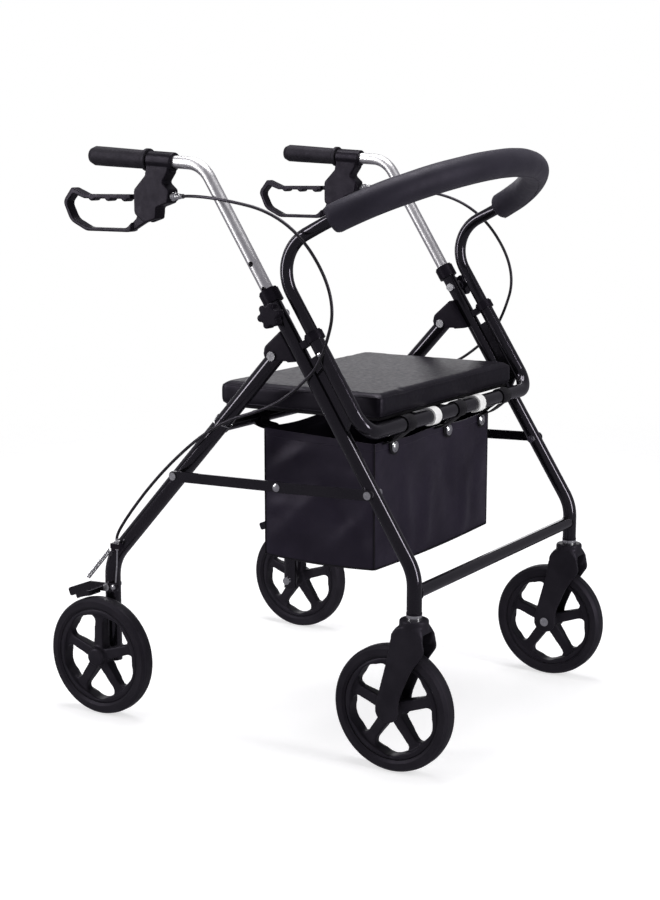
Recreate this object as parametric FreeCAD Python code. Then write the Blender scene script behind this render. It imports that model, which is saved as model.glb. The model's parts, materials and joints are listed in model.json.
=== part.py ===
import FreeCAD, Part
import math
import os

V = FreeCAD.Vector

# Rollator walker. Millimetres. X is forward, Y is to the user's left, Z is up, the floor is z = 0.
# Everything is drawn on the left side first and mirrored to the right side.

# ---- driving dimensions -------------------------------------------------------------------------
WHEEL_R = 95.0            # tyre radius
TYRE_W = 28.0             # tyre width
WHEELBASE = 524.0         # front axle to rear axle
FRAME_Y = 272.0           # plane of each front side tube
LEG_Y = 262.0             # plane of each rear leg
REAR_WHEEL_Y = 294.0      # centre plane of each rear wheel
TRAIL = 32.0              # caster stem ahead of the front axle
TILT = 32.3               # front side tube, degrees rearward from vertical
SLEEVE = (48.0, 688.0)    # x and z where the handle tube leaves the side tube
SIDE_TUBE_R = 11.1
SIDE_TUBE_IN = 9.9
SIDE_BEND = 70.0
TUBE_FOOT_Z = 242.0       # lower end of the side tube
SOCKET_OFFSET = 34.0      # seat frame tube ahead of the side tube, square to both
SOCKET_TOP = -90.0        # top of the seat frame tube, along the side tube from the sleeve
SEAT_BAR_AT = -253.5      # seat bar, along the side tube from the sleeve
SEAT_BAR_BEND = 34.0
HANDLE_R = 9.525
HANDLE_IN = 8.3
HANDLE_FOOT = -155.0      # lower end of the handle tube inside the side tube
HANDLE_TOP = 216.0        # corner of the handle tube, along its own axis
HANDLE_BEND = 48.0
GRIP_RISE = 3.2           # degrees that the grip climbs towards its rear end
GRIP_REACH = 205.0        # handle corner to the tube's rear end
HOLE_PITCH = 42.0         # height adjustment holes
KNOB_AT = -37.0           # knob axis, along the side tube
BACK_CORNER = 44.0        # corner of the backrest tube, along the socket axis
BACK_BEND = 60.0
BOW_RISE = 27.0           # degrees that the bow climbs towards the front
BOW_STRAIGHT = 18.0
BOW_SIDE_R = 150.0        # radius of the bow near its sides
BOW_FRONT_R = 323.7       # radius across its front
PAD_R = 21.5
PAD_FROM = 11.0           # degrees along the side arc where the pad begins
HINGE = (56.0, 595.0)     # fold hinge, x and z
LEG_R = 12.5
LEG_IN = 11.0
LEG_TILT = 42.3           # rear leg, degrees rearward from vertical
LEG_BEND = 70.0
LEG_X = -262.0            # vertical part of the rear leg, over the axle
LEG_FOOT_Z = 80.0
CROSS_R = 9.5
FRONT_CROSS_Z = 270.0
REAR_CROSS_Z = 480.0
LINK_BOLT_AT = -332.0     # link bolt, along the side tube from the sleeve
LINK_MID = (69.6, 402.3)  # where the two link bars meet
LINK_LEG_Z = 398.5        # link rivet on the rear leg
LINK_W = 16.0
LINK_T = 3.0
SEAT_X = (-82.0, 209.0)
SEAT_HALF = 221.0
SEAT_Z = (502.0, 506.0, 539.5)
SEAT_CLIP_Y = 75.0
SEAT_CLIP_HALF = 10.0
BAG_X = (-18.0, 179.0)
BAG_HALF = 188.0
BAG_FLOOR = 268.0
BAG_TOP = (470.0, 462.0)      # height of the bag's rear and front top edges
BAG_CORNER = 7.0
BAG_WALL = 2.0
STRAPS = ((-154.0, 22.0), (9.0, 34.0), (167.0, -8.0))    # y at the bar, and the front tab's shift from it
STRAP_W = 26.0
STRAP_TAIL = 24.0         # how far each strap runs down the bag from its top edge
RUN = 0.05                # running clearance of a pin in its bore

FRONT_X = WHEELBASE / 2
STEM_X = FRONT_X + TRAIL
REAR_X = -WHEELBASE / 2
UP = V(-math.sin(math.radians(TILT)), 0, math.cos(math.radians(TILT)))
AHEAD = V(math.cos(math.radians(TILT)), 0, math.sin(math.radians(TILT)))
LEG_DOWN = V(-math.sin(math.radians(LEG_TILT)), 0, -math.cos(math.radians(LEG_TILT)))
Y = V(0, 1, 0)

nodes = {}


# ---- helpers ------------------------------------------------------------------------------------
def unit(v):
    return v * (1.0 / v.Length)


def side(along, ahead=0.0, y=FRAME_Y):
    """A point by its distance along the side tube's axis and ahead of it."""
    return V(SLEEVE[0], y, SLEEVE[1]) + UP * along + AHEAD * ahead


def leg(z, y=LEG_Y):
    """The point of the sloping part of the rear leg at height z."""
    return V(HINGE[0] - (HINGE[1] - z) * math.tan(math.radians(LEG_TILT)), y, z)


def one(shapes):
    """All the shapes as one solid."""
    if len(shapes) == 1:
        return shapes[0]
    return shapes[0].multiFuse(shapes[1:]).removeSplitter()


def ring_face(at, direction, outer, inner):
    face = Part.Face(Part.Wire(Part.makeCircle(outer, at, direction)))
    if inner:
        face = face.cut(Part.Face(Part.Wire(Part.makeCircle(inner, at, direction)))).Faces[0]
    return face


def rod(start, end, outer, inner=0.0):
    """Straight round bar or tube from start to end."""
    return ring_face(start, end - start, outer, inner).extrude(end - start)


def bent(points, bends, outer, inner=0.0):
    """Round bar or tube along points, with one bend radius for each inner point."""
    pieces = []
    start = points[0]
    for i in range(1, len(points)):
        run = unit(points[i] - points[i - 1])
        if i == len(points) - 1:
            if (points[i] - start).Length > 0.01:
                pieces.append(rod(start, points[i], outer, inner))
            break
        following = unit(points[i + 1] - points[i])
        angle = run.getAngle(following)
        back = bends[i - 1] * math.tan(angle / 2)
        end = points[i] - run * back
        if (end - start).Length > 0.01:
            pieces.append(rod(start, end, outer, inner))
        axis = unit(run.cross(following))
        centre = end + axis.cross(run) * bends[i - 1]
        face = ring_face(end, run, outer, inner)
        pieces.append(face.revolve(centre, axis, math.degrees(angle)))
        start = points[i] + following * back
    return one(pieces)


def plate(corners, y0, y1):
    """Plate between y0 and y1 whose outline is (x, z, corner radius), in order."""
    ends = []
    n = len(corners)
    for i in range(n):
        x, z, r = corners[i]
        p = V(x, y0, z)
        before = unit(V(corners[i - 1][0], y0, corners[i - 1][1]) - p)
        after = unit(V(corners[(i + 1) % n][0], y0, corners[(i + 1) % n][1]) - p)
        if r == 0:
            ends.append((p, None, p))
            continue
        half = before.getAngle(after) / 2
        bisector = unit(before + after)
        middle = p + bisector * (r / math.sin(half) - r)
        cut = r / math.tan(half)
        ends.append((p + before * cut, middle, p + after * cut))
    edges = []
    for i in range(n):
        a, middle, b = ends[i]
        if middle is not None:
            edges.append(Part.Arc(a, middle, b).toShape())
        following = ends[(i + 1) % n][0]
        if (following - b).Length > 1e-6:
            edges.append(Part.makeLine(b, following))
    return Part.Face(Part.Wire(edges)).extrude(V(0, y1 - y0, 0))


def tapered(a, ra, b, rb, y0, y1):
    """Plate around two circles at a and b, each (x, z), with straight sides between them."""
    base = math.atan2(b[1] - a[1], b[0] - a[0])
    spread = math.acos((ra - rb) / math.hypot(b[0] - a[0], b[1] - a[1]))
    corners = []
    for centre, r, sign in ((a, ra, 1), (b, rb, 1), (b, rb, -1), (a, ra, -1)):
        turn = base + sign * spread
        corners.append((centre[0] + r * math.cos(turn), centre[1] + r * math.sin(turn), 0))
    ends = []
    for centre, r in ((a, ra), (b, rb)):
        ends.append(rod(V(centre[0], y0, centre[1]), V(centre[0], y1, centre[1]), r))
    return one([plate(corners, y0, y1)] + ends)


def pin(x, z, y0, y1, r):
    return rod(V(x, y0, z), V(x, y1, z), r)


def box(x0, x1, y0, y1, z0, z1):
    return Part.makeBox(x1 - x0, y1 - y0, z1 - z0, V(x0, y0, z0))


def lathe(profile, y_mid, x, z):
    """Solid turned about a Y axis through (x, z); profile is (offset in y, radius) points."""
    pts = [V(x, y_mid + off, z + r) for off, r in profile]
    wire = Part.makePolygon(pts + [pts[0]])
    return Part.Face(wire).revolve(V(x, 0, z), Y, 360)


def mirrored(shape):
    return shape.mirror(V(0, 0, 0), Y)


def both(shape):
    return Part.makeCompound(shape.Solids + mirrored(shape).Solids)


def pair(name, shape):
    """The same piece on the left and on the right."""
    nodes[name + "_left"] = shape
    nodes[name + "_right"] = mirrored(shape)


# ---- front side tubes and what is fixed to them ---------------------------------------------------
bend_z = SLEEVE[1] - (STEM_X - SLEEVE[0]) / math.tan(math.radians(TILT))
side_path = [side(-2.0), V(STEM_X, FRAME_Y, bend_z), V(STEM_X, FRAME_Y, TUBE_FOOT_Z)]
side_core = bent(side_path, [SIDE_BEND], SIDE_TUBE_R)
side_tube = bent(side_path, [SIDE_BEND], SIDE_TUBE_R, SIDE_TUBE_IN)

socket_top = side(SOCKET_TOP, SOCKET_OFFSET)
bar_corner = side(SEAT_BAR_AT, SOCKET_OFFSET)
SEAT_BAR = (bar_corner.x, bar_corner.z)
right_corner = V(bar_corner.x, -bar_corner.y, bar_corner.z)
right_top = V(socket_top.x, -socket_top.y, socket_top.z)
seat_path = [socket_top, bar_corner, right_corner, right_top]
seat_core = bent(seat_path, [SEAT_BAR_BEND] * 2, SIDE_TUBE_R)
seat_frame = bent(seat_path, [SEAT_BAR_BEND] * 2, SIDE_TUBE_R, SIDE_TUBE_IN)

gusset = []
for along, ahead in ((-118.0, 4.0), (-118.0, 30.0), (-222.0, 30.0), (-240.0, 4.0)):
    spot = side(along, ahead)
    gusset.append((spot.x, spot.z, 0))
gusset = plate(gusset, FRAME_Y - 3.0, FRAME_Y + 3.0)
nodes["tube_gussets"] = both(gusset.cut(side_core).cut(seat_core))

crossbar = rod(V(STEM_X, -FRAME_Y, FRONT_CROSS_Z), V(STEM_X, FRAME_Y, FRONT_CROSS_Z), CROSS_R)
nodes["front_crossbar"] = crossbar.cut(side_core).cut(mirrored(side_core))

socket = rod(V(STEM_X, FRAME_Y, TUBE_FOOT_Z), V(STEM_X, FRAME_Y, 284.0), SIDE_TUBE_IN, 6.0 + RUN)
socket_bottom = rod(V(STEM_X, FRAME_Y, 239.5), V(STEM_X, FRAME_Y, TUBE_FOOT_Z), 11.6, 6.0 + RUN)
nodes["caster_sockets"] = both(one([socket, socket_bottom]).cut(side_tube))

# sleeve collar: a ring over the tube end that guides the handle tube
collar = one([rod(side(-18.0), side(0.5), 15.5), rod(side(0.5), side(3.0), 13.8)])
collar = collar.cut(rod(side(-18.0), side(-2.0), SIDE_TUBE_R))
collar = collar.cut(rod(side(-3.0), side(4.0), HANDLE_R + 0.08))

back_collar = one([
    rod(side(SOCKET_TOP - 10.0, SOCKET_OFFSET), side(SOCKET_TOP + 1.5, SOCKET_OFFSET), 14.5),
    rod(side(SOCKET_TOP + 1.5, SOCKET_OFFSET), side(SOCKET_TOP + 4.0, SOCKET_OFFSET), 12.8)])
arm_ends = [side(SOCKET_TOP - 10.0, 6.0), side(SOCKET_TOP, 6.0), side(SOCKET_TOP, 26.0),
            side(SOCKET_TOP - 10.0, 26.0)]
arm = plate([(p.x, p.z, 0) for p in arm_ends], FRAME_Y - 6.0, FRAME_Y + 6.0)
back_collar = one([back_collar, arm.cut(side_core)]).cut(
    rod(side(SOCKET_TOP - 10.0, SOCKET_OFFSET), side(SOCKET_TOP, SOCKET_OFFSET), SIDE_TUBE_R))
back_collar = back_collar.cut(
    rod(side(SOCKET_TOP - 1.0, SOCKET_OFFSET), side(SOCKET_TOP + 5.0, SOCKET_OFFSET), HANDLE_R))
nodes["tube_collars"] = both(Part.makeCompound([collar, back_collar]))

# fold hinge bracket: two cheeks behind the side tube, joined by a web
base_low = side(-112.0, -7.0, 0)
base_high = side(-58.0, -7.0, 0)
nose = []
for bearing in (166.0, 238.0):
    spot = math.radians(bearing - TILT)
    nose.append((HINGE[0] + 18.5 * math.cos(spot), HINGE[1] + 18.5 * math.sin(spot), 11.0))
cheek = [(base_low.x, base_low.z, 3), (base_high.x, base_high.z, 3)] + nose
web_a = side(-104.0, -24.0, 0)
web_b = side(-62.0, -24.0, 0)
web = plate([(base_low.x, base_low.z, 0), (base_high.x, base_high.z, 0),
             (web_b.x, web_b.z, 0), (web_a.x, web_a.z, 0)], LEG_Y - 16.0, LEG_Y + 16.0)
bracket = one([plate(cheek, LEG_Y - 16.0, LEG_Y - 13.0), plate(cheek, LEG_Y + 13.0, LEG_Y + 16.0), web])
hinge_pin = one([
    pin(HINGE[0], HINGE[1], LEG_Y - 18.0, LEG_Y + 18.0, 4.0),
    pin(HINGE[0], HINGE[1], LEG_Y - 18.5, LEG_Y - 16.0, 7.0),
    pin(HINGE[0], HINGE[1], LEG_Y + 16.0, LEG_Y + 18.5, 7.0)])
nodes["hinge_brackets"] = both(bracket.cut(side_core).cut(hinge_pin))

# link bolt through the side tube, and the handle bolt's inner head
link_at = side(LINK_BOLT_AT)
A = (link_at.x, link_at.z)
LINK_OUT_Y = FRAME_Y + 12.4     # inner face of the front link bar
LINK_IN_Y = LINK_OUT_Y - 4.4    # inner face of the rear link bar
link_bolt = one([
    pin(A[0], A[1], FRAME_Y - 17.0, LINK_OUT_Y + 6.0, 3.0),
    pin(A[0], A[1], FRAME_Y - 16.0, FRAME_Y - 10.5, 6.0),
    pin(A[0], A[1], FRAME_Y + 10.5, LINK_OUT_Y - 0.3, 7.0).cut(side_core),
    pin(A[0], A[1], LINK_OUT_Y + LINK_T + 0.3, LINK_OUT_Y + LINK_T + 3.0, 6.0)])
nut_cut = side_core.cut(pin(A[0], A[1], FRAME_Y - 20.0, FRAME_Y + 20.0, 3.0))
link_bolt = link_bolt.cut(nut_cut)
knob_at = side(KNOB_AT)
inner_head = one([
    pin(knob_at.x, knob_at.z, FRAME_Y - 15.5, FRAME_Y - 10.2, 6.5).cut(side_core),
    pin(knob_at.x, knob_at.z, FRAME_Y - 15.0, FRAME_Y - 10.2, 4.0)])
nodes["frame_bolts"] = both(Part.makeCompound([hinge_pin, link_bolt, inner_head]))

stud_hole = pin(knob_at.x, knob_at.z, FRAME_Y, FRAME_Y + 20.0, 4.0 + RUN)
side_tube = side_tube.cut(stud_hole).cut(link_bolt).cut(inner_head)
pair("front_tube", side_tube)

# ---- backrest -------------------------------------------------------------------------------------
bow_dir = V(math.cos(math.radians(BOW_RISE)), 0, math.sin(math.radians(BOW_RISE)))
back_corner = side(BACK_CORNER, SOCKET_OFFSET)
back_turn = math.radians(90.0 + TILT - BOW_RISE)
bow_start = back_corner + bow_dir * (BACK_BEND * math.tan(back_turn / 2) + BOW_STRAIGHT)
bow_angle = math.acos((FRAME_Y - BOW_SIDE_R) / (BOW_FRONT_R - BOW_SIDE_R))


def bow(turned):
    """Point and direction on the left side arc of the bow after turning by an angle in radians."""
    at = bow_start + bow_dir * (BOW_SIDE_R * math.sin(turned))
    at = at - Y * (BOW_SIDE_R * (1 - math.cos(turned)))
    return at, bow_dir * math.cos(turned) - Y * math.sin(turned)


def bow_corners(turned):
    at, heading = bow(turned)
    first = at + heading * (BOW_SIDE_R * math.tan((bow_angle - turned) / 2))
    end, heading = bow(bow_angle)
    front = end + heading * (BOW_FRONT_R * math.tan(math.pi / 2 - bow_angle))
    return at, first, front


at, first, front = bow_corners(0.0)
arcs = [BOW_SIDE_R, BOW_FRONT_R, BOW_SIDE_R]
middle = V(front.x, 0, front.z)
left_half = [side(SOCKET_TOP - 60.0, SOCKET_OFFSET), back_corner, first]
path = left_half + [middle] + [V(p.x, -p.y, p.z) for p in reversed(left_half)]
back_tube = bent(path, [BACK_BEND] + arcs + [BACK_BEND], HANDLE_R, HANDLE_IN)

at, first, front = bow_corners(math.radians(PAD_FROM))
pad_path = [at, first, middle, V(first.x, -first.y, first.z), V(at.x, -at.y, at.z)]
nodes["backrest_pad"] = bent(pad_path, arcs, PAD_R, HANDLE_R)

# snap button that holds the backrest tube in its socket
button_at = side(SOCKET_TOP - 32.0, SOCKET_OFFSET)
button_hole = pin(button_at.x, button_at.z, FRAME_Y, FRAME_Y + 20.0, 3.5 + 0.1)
both_holes = [button_hole, mirrored(button_hole)]
nodes["backrest_tube"] = back_tube.cut(both_holes)
nodes["seat_frame_tube"] = seat_frame.cut(both_holes)
button = lathe([(2.5, 0), (2.5, 3.5), (12.6, 3.5), (14.0, 2.4), (14.6, 0)], FRAME_Y,
               button_at.x, button_at.z)
pair("snap_button", button)

# ---- seat -----------------------------------------------------------------------------------------
board = box(SEAT_X[0] + 10, SEAT_X[1] - 10, 10 - SEAT_HALF, SEAT_HALF - 10, SEAT_Z[0], SEAT_Z[1])
cushion = box(SEAT_X[0], SEAT_X[1], -SEAT_HALF, SEAT_HALF, SEAT_Z[1], SEAT_Z[2])
tall = [e for e in cushion.Edges if abs(e.Vertexes[0].Z - e.Vertexes[1].Z) > 1]
cushion = cushion.makeFillet(8.0, tall)
top = [e for e in cushion.Edges if min(v.Z for v in e.Vertexes) > SEAT_Z[2] - 0.01]
cushion = cushion.makeFillet(4.0, top)
nodes["seat_cushion"] = cushion
clip_ring = pin(SEAT_BAR[0], SEAT_BAR[1], SEAT_CLIP_Y - SEAT_CLIP_HALF, SEAT_CLIP_Y + SEAT_CLIP_HALF, 14.0)
clip_tab = box(148.0, SEAT_BAR[0], SEAT_CLIP_Y - SEAT_CLIP_HALF, SEAT_CLIP_Y + SEAT_CLIP_HALF,
               SEAT_Z[0] - 5.0, SEAT_Z[0])
clip = one([clip_ring, clip_tab])
clip = clip.cut(pin(SEAT_BAR[0], SEAT_BAR[1], SEAT_CLIP_Y - 20, SEAT_CLIP_Y + 20, SIDE_TUBE_R + RUN))
clip = clip.cut(box(SEAT_X[0], SEAT_X[1] - 10, SEAT_CLIP_Y - 20, SEAT_CLIP_Y + 20, SEAT_Z[0], 530.0))
nodes["seat_clips"] = both(clip)
cross_x = leg(REAR_CROSS_Z).x
rest_gap = REAR_CROSS_Z + CROSS_R + 0.4
rest = box(cross_x - 14, cross_x + 10, 62.0, 96.0, rest_gap, SEAT_Z[0])
nodes["seat_board"] = one([board, rest, mirrored(rest)])

# ---- bag ------------------------------------------------------------------------------------------
def bag_block(wall, low):
    """Block inside the bag's outline, wall in from it, from low up past the top edge."""
    block = box(BAG_X[0] + wall, BAG_X[1] - wall, wall - BAG_HALF, BAG_HALF - wall,
                low, BAG_TOP[1] + 20.0)
    upright = [e for e in block.Edges if abs(e.Vertexes[0].Z - e.Vertexes[1].Z) > 1]
    return block.makeFillet(BAG_CORNER - wall, upright)


above = plate([(BAG_X[0], BAG_TOP[0], 0), (BAG_X[1], BAG_TOP[1], 0), (BAG_X[1] + 1, 600, 0),
               (BAG_X[0] - 1, 600, 0)], -BAG_HALF - 1, BAG_HALF + 1)
shell = bag_block(0.0, BAG_FLOOR).cut(bag_block(BAG_WALL, BAG_FLOOR + BAG_WALL))
nodes["bag"] = shell.cut(above)


def strap(bar_x, bar_z, bar_r, tail_x, tail_z, y, shift=0.0):
    """Loop of webbing round a bar, with a tail down the outside of the bag to tail_z, shifted along the bar."""
    width = STRAP_W
    low = bar_z - bar_r
    loop = pin(bar_x, bar_z, y - width / 2, y + width / 2, bar_r + 1.8)
    near = min(y, y + shift) - width / 2
    far = max(y, y + shift) + width / 2
    reach = box(min(bar_x, tail_x), max(bar_x, tail_x), near, far, low - 1.8, low)
    fall = box(tail_x - 0.9, tail_x + 0.9, y + shift - width / 2, y + shift + width / 2, tail_z, low)
    return one([loop, reach, fall]).cut(pin(bar_x, bar_z, y - width, y + width, bar_r))


front_tail = BAG_X[1] + 0.9
rear_tail = BAG_X[0] - 0.9
straps = []
for y, shift in STRAPS:
    straps.append(strap(SEAT_BAR[0], SEAT_BAR[1], SIDE_TUBE_R, front_tail, BAG_TOP[1] - STRAP_TAIL, y, shift))
nodes["bag_straps_front"] = Part.makeCompound(straps)
straps = []
for y, shift in STRAPS:
    straps.append(strap(cross_x, REAR_CROSS_Z, CROSS_R, rear_tail, BAG_TOP[0] - STRAP_TAIL, y))
nodes["bag_straps_rear"] = Part.makeCompound(straps)

# ---- rear legs ------------------------------------------------------------------------------------
leg_top = V(HINGE[0], LEG_Y, HINGE[1]) - LEG_DOWN * 12.0
leg_bend_z = HINGE[1] - (HINGE[0] - LEG_X) / math.tan(math.radians(LEG_TILT))
leg_path = [leg_top, V(LEG_X, LEG_Y, leg_bend_z), V(LEG_X, LEG_Y, LEG_FOOT_Z)]
leg_core = bent(leg_path, [LEG_BEND], LEG_R)
leg_tube = bent(leg_path, [LEG_BEND], LEG_R, LEG_IN)
leg_tube = leg_tube.cut(pin(HINGE[0], HINGE[1], LEG_Y - 20.0, LEG_Y + 20.0, 4.0 + RUN))

rear_bar = rod(V(cross_x, -LEG_Y, REAR_CROSS_Z), V(cross_x, LEG_Y, REAR_CROSS_Z), CROSS_R)
nodes["rear_crossbar"] = rear_bar.cut(leg_core).cut(mirrored(leg_core))

axle = one([
    pin(REAR_X, WHEEL_R, LEG_Y - 17.0, REAR_WHEEL_Y + 15.0, 4.0),
    pin(REAR_X, WHEEL_R, REAR_WHEEL_Y + 13.3, REAR_WHEEL_Y + 16.3, 9.0)])
spacer = pin(REAR_X, WHEEL_R, LEG_Y + 8.0, REAR_WHEEL_Y - 13.3, 8.0).cut(leg_core)
nut = pin(REAR_X, WHEEL_R, LEG_Y - 17.0, LEG_Y - 8.0, 7.0).cut(leg_core)
axle = one([axle, spacer, nut])
nodes["rear_axles"] = both(axle)

B_point = leg(LINK_LEG_Z)
B = (B_point.x, B_point.z)
leg_rivet = one([
    pin(B[0], B[1], LEG_Y - 15.0, LINK_IN_Y + LINK_T + 2.0, 3.0),
    pin(B[0], B[1], LINK_IN_Y + LINK_T + 0.3, LINK_IN_Y + LINK_T + 2.4, 6.0),
    pin(B[0], B[1], LEG_Y + 8.0, LINK_IN_Y - 0.3, 7.0).cut(leg_core),
    pin(B[0], B[1], LEG_Y - 15.0, LEG_Y - 8.0, 5.5).cut(leg_core)])
ARM = (LEG_X, 203.0)
ARM_Y = LEG_Y + 13.4
ARM_T = 3.0
arm_rivet = one([
    pin(ARM[0], ARM[1], LEG_Y - 15.0, ARM_Y + ARM_T + 1.8, 3.0),
    pin(ARM[0], ARM[1], ARM_Y + ARM_T + 0.3, ARM_Y + ARM_T + 2.2, 6.0),
    pin(ARM[0], ARM[1], LEG_Y - 15.0, LEG_Y - 8.0, 5.5).cut(leg_core)])
nodes["leg_rivets"] = both(Part.makeCompound([leg_rivet, arm_rivet]))
pair("rear_leg", leg_tube.cut(axle).cut(leg_rivet).cut(arm_rivet))

# cable stop on the outer side of the leg, just above its bend
STOP_Z = 274.0
stop_at = leg(STOP_Z, LEG_Y)
WIRE = (stop_at.x - 2.0, LEG_Y + 17.5)
stop = one([
    box(WIRE[0] - 9, WIRE[0] + 9, LEG_Y + 6.0, WIRE[1] + 6.0, STOP_Z - 4, STOP_Z + 4),
    box(WIRE[0] - 14, WIRE[0] + 3, LEG_Y + 6.0, LEG_Y + 15.5, STOP_Z - 10, STOP_Z + 1)])
adjuster = one([
    rod(V(WIRE[0], WIRE[1], STOP_Z - 7), V(WIRE[0], WIRE[1], STOP_Z + 12), 2.6, 1.3),
    rod(V(WIRE[0], WIRE[1], STOP_Z + 4), V(WIRE[0], WIRE[1], STOP_Z + 8), 4.6, 1.3)])
stop = stop.cut(leg_core).cut(rod(V(WIRE[0], WIRE[1], 250), V(WIRE[0], WIRE[1], 300), 2.6))
nodes["brake_cable_stops"] = both(stop)
nodes["leg_adjusters"] = both(adjuster)

# ---- brake arms and springs -------------------------------------------------------------------------
SHOE_GAP = 3.0
ARM_HALF = 7.0
knee = V(ARM[0] - 33.0, 0, ARM[1] - 1.5)
toe = V(ARM[0] - 78.0, 0, ARM[1] - 19.0)
across = Y.cross(unit(toe - knee)) * ARM_HALF
pedal = plate([(knee.x + across.x, knee.z + across.z, 0), (toe.x + across.x, toe.z + across.z, 4),
               (toe.x - across.x, toe.z - across.z, 4), (knee.x - across.x, knee.z - across.z, 0)],
              ARM_Y, ARM_Y + ARM_T)
arm = one([
    tapered((ARM[0] + 15, ARM[1] + 1), ARM_HALF, ARM, ARM_HALF, ARM_Y, ARM_Y + ARM_T),
    tapered(ARM, ARM_HALF, (knee.x, knee.z), ARM_HALF, ARM_Y, ARM_Y + ARM_T),
    pedal,
    pin(ARM[0] + 14, ARM[1] + 1, ARM_Y + ARM_T, ARM_Y + ARM_T + 2.4, 4.5)])
shoe_r = WHEEL_R + SHOE_GAP
shoe = pin(REAR_X, WHEEL_R, ARM_Y, ARM_Y + 27.0, shoe_r + 8.0)
shoe = shoe.cut(pin(REAR_X, WHEEL_R, ARM_Y - 1, ARM_Y + 28.0, shoe_r))
wedge = []
for bearing in (99.0, 115.0):
    turn = math.radians(bearing)
    wedge.append((REAR_X + 140.0 * math.cos(turn), WHEEL_R + 140.0 * math.sin(turn), 0))
shoe = shoe.common(plate([(REAR_X, WHEEL_R, 0)] + wedge, ARM_Y - 1, ARM_Y + 28.0))
arm = one([arm, shoe])
arm = arm.cut(pin(ARM[0], ARM[1], ARM_Y - 1, ARM_Y + ARM_T + 1, 3.0 + RUN))
pair("brake_arm", arm)

SPRING_TOP = V(WIRE[0] - 16.0, ARM_Y + 4.0, STOP_Z - 9.0)
SPRING_FOOT = V(ARM[0] - 37.0, ARM_Y + 4.0, ARM[1] + 12.0)
length = (SPRING_FOOT - SPRING_TOP).Length
turns = 26
helix = Part.makeHelix(length / turns, length, 3.2)
wire_face = Part.Wire(Part.makeCircle(0.9, V(3.2, 0, 0), Y))
coil = Part.Wire(helix).makePipeShell([wire_face], True, True)
coil.Placement = FreeCAD.Placement(
    SPRING_TOP, FreeCAD.Rotation(V(0, 0, 1), SPRING_FOOT - SPRING_TOP))
nodes["brake_springs"] = both(coil)

# ---- link bars --------------------------------------------------------------------------------------
front_link = tapered(A, LINK_W / 2, LINK_MID, LINK_W / 2, LINK_OUT_Y, LINK_OUT_Y + LINK_T)
front_link = one([
    front_link, pin(LINK_MID[0], LINK_MID[1], LINK_OUT_Y + LINK_T, LINK_OUT_Y + LINK_T + 2.0, 5.5)])
front_link = front_link.cut(pin(A[0], A[1], LINK_OUT_Y - 1, LINK_OUT_Y + 5, 3.0 + RUN))
pair("link_front", front_link)
rear_link = tapered(B, LINK_W / 2, LINK_MID, LINK_W / 2, LINK_IN_Y, LINK_IN_Y + LINK_T)
rear_link = one([rear_link, pin(LINK_MID[0], LINK_MID[1], LINK_IN_Y - 1.5, LINK_IN_Y, 5.5)])
rear_link = rear_link.cut(pin(B[0], B[1], LINK_IN_Y - 1, LINK_IN_Y + 5, 3.0 + RUN))
pair("link_rear", rear_link)


# ---- wheels -----------------------------------------------------------------------------------------
def tyre(x, y):
    w = TYRE_W / 2
    r = WHEEL_R
    return lathe([(-w + 3, 77.0), (w - 3, 77.0), (w, 81.0), (w, r - 5.0), (w - 4.5, r - 1.0),
                  (w - 9.0, r), (9.0 - w, r), (4.5 - w, r - 1.0), (-w, r - 5.0), (-w, 81.0)],
                 y, x, r)


def core(x, y):
    """Wheel core: rim, hub and a web that thins outwards, cut into five spokes."""
    r = WHEEL_R
    rim = lathe([(-12.0, 68.0), (12.0, 68.0), (11.0, 77.0), (-11.0, 77.0)], y, x, r)
    web = lathe([(-10.0, 0.0), (10.0, 0.0), (10.0, 16.0), (6.0, 69.0), (-6.0, 69.0), (-10.0, 16.0)],
                y, x, r)
    hub = pin(x, r, y - 13.0, y + 13.0, 15.0)
    whole = one([rim, web, hub])
    for i in range(5):
        turn = math.radians(54.0 + 72.0 * i)
        corners = []
        for radius, off, fillet in ((15.0, 0.0, 3.5), (66.0, -29.2, 9.0), (75.0, 0.0, 28.0),
                                    (66.0, 29.2, 9.0)):
            spot = turn + math.radians(off)
            corners.append((x + radius * math.cos(spot), r + radius * math.sin(spot), fillet))
        whole = whole.cut(plate(corners, y - 14.0, y + 14.0))
    return whole.cut(pin(x, r, y - 14.0, y + 14.0, 4.0 + RUN))


def hub_cap(x, y):
    """Snap-on cap over the axle head on the outer side of a rear wheel."""
    r = WHEEL_R
    ring = pin(x, r, y + 13.0, y + 17.0, 15.0).cut(pin(x, r, y + 12.0, y + 17.0, 12.0))
    return one([ring, lathe([(17.0, 0.0), (17.0, 15.0), (18.5, 14.5), (19.5, 12.0), (19.5, 0.0)], y, x, r)])


pair("rear_tyre", tyre(REAR_X, REAR_WHEEL_Y))
rear_core = Part.makeCompound([core(REAR_X, REAR_WHEEL_Y), hub_cap(REAR_X, REAR_WHEEL_Y)])
pair("rear_wheel_core", rear_core)
pair("front_tyre", tyre(FRONT_X, FRAME_Y))
pair("front_wheel_core", core(FRONT_X, FRAME_Y))

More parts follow.
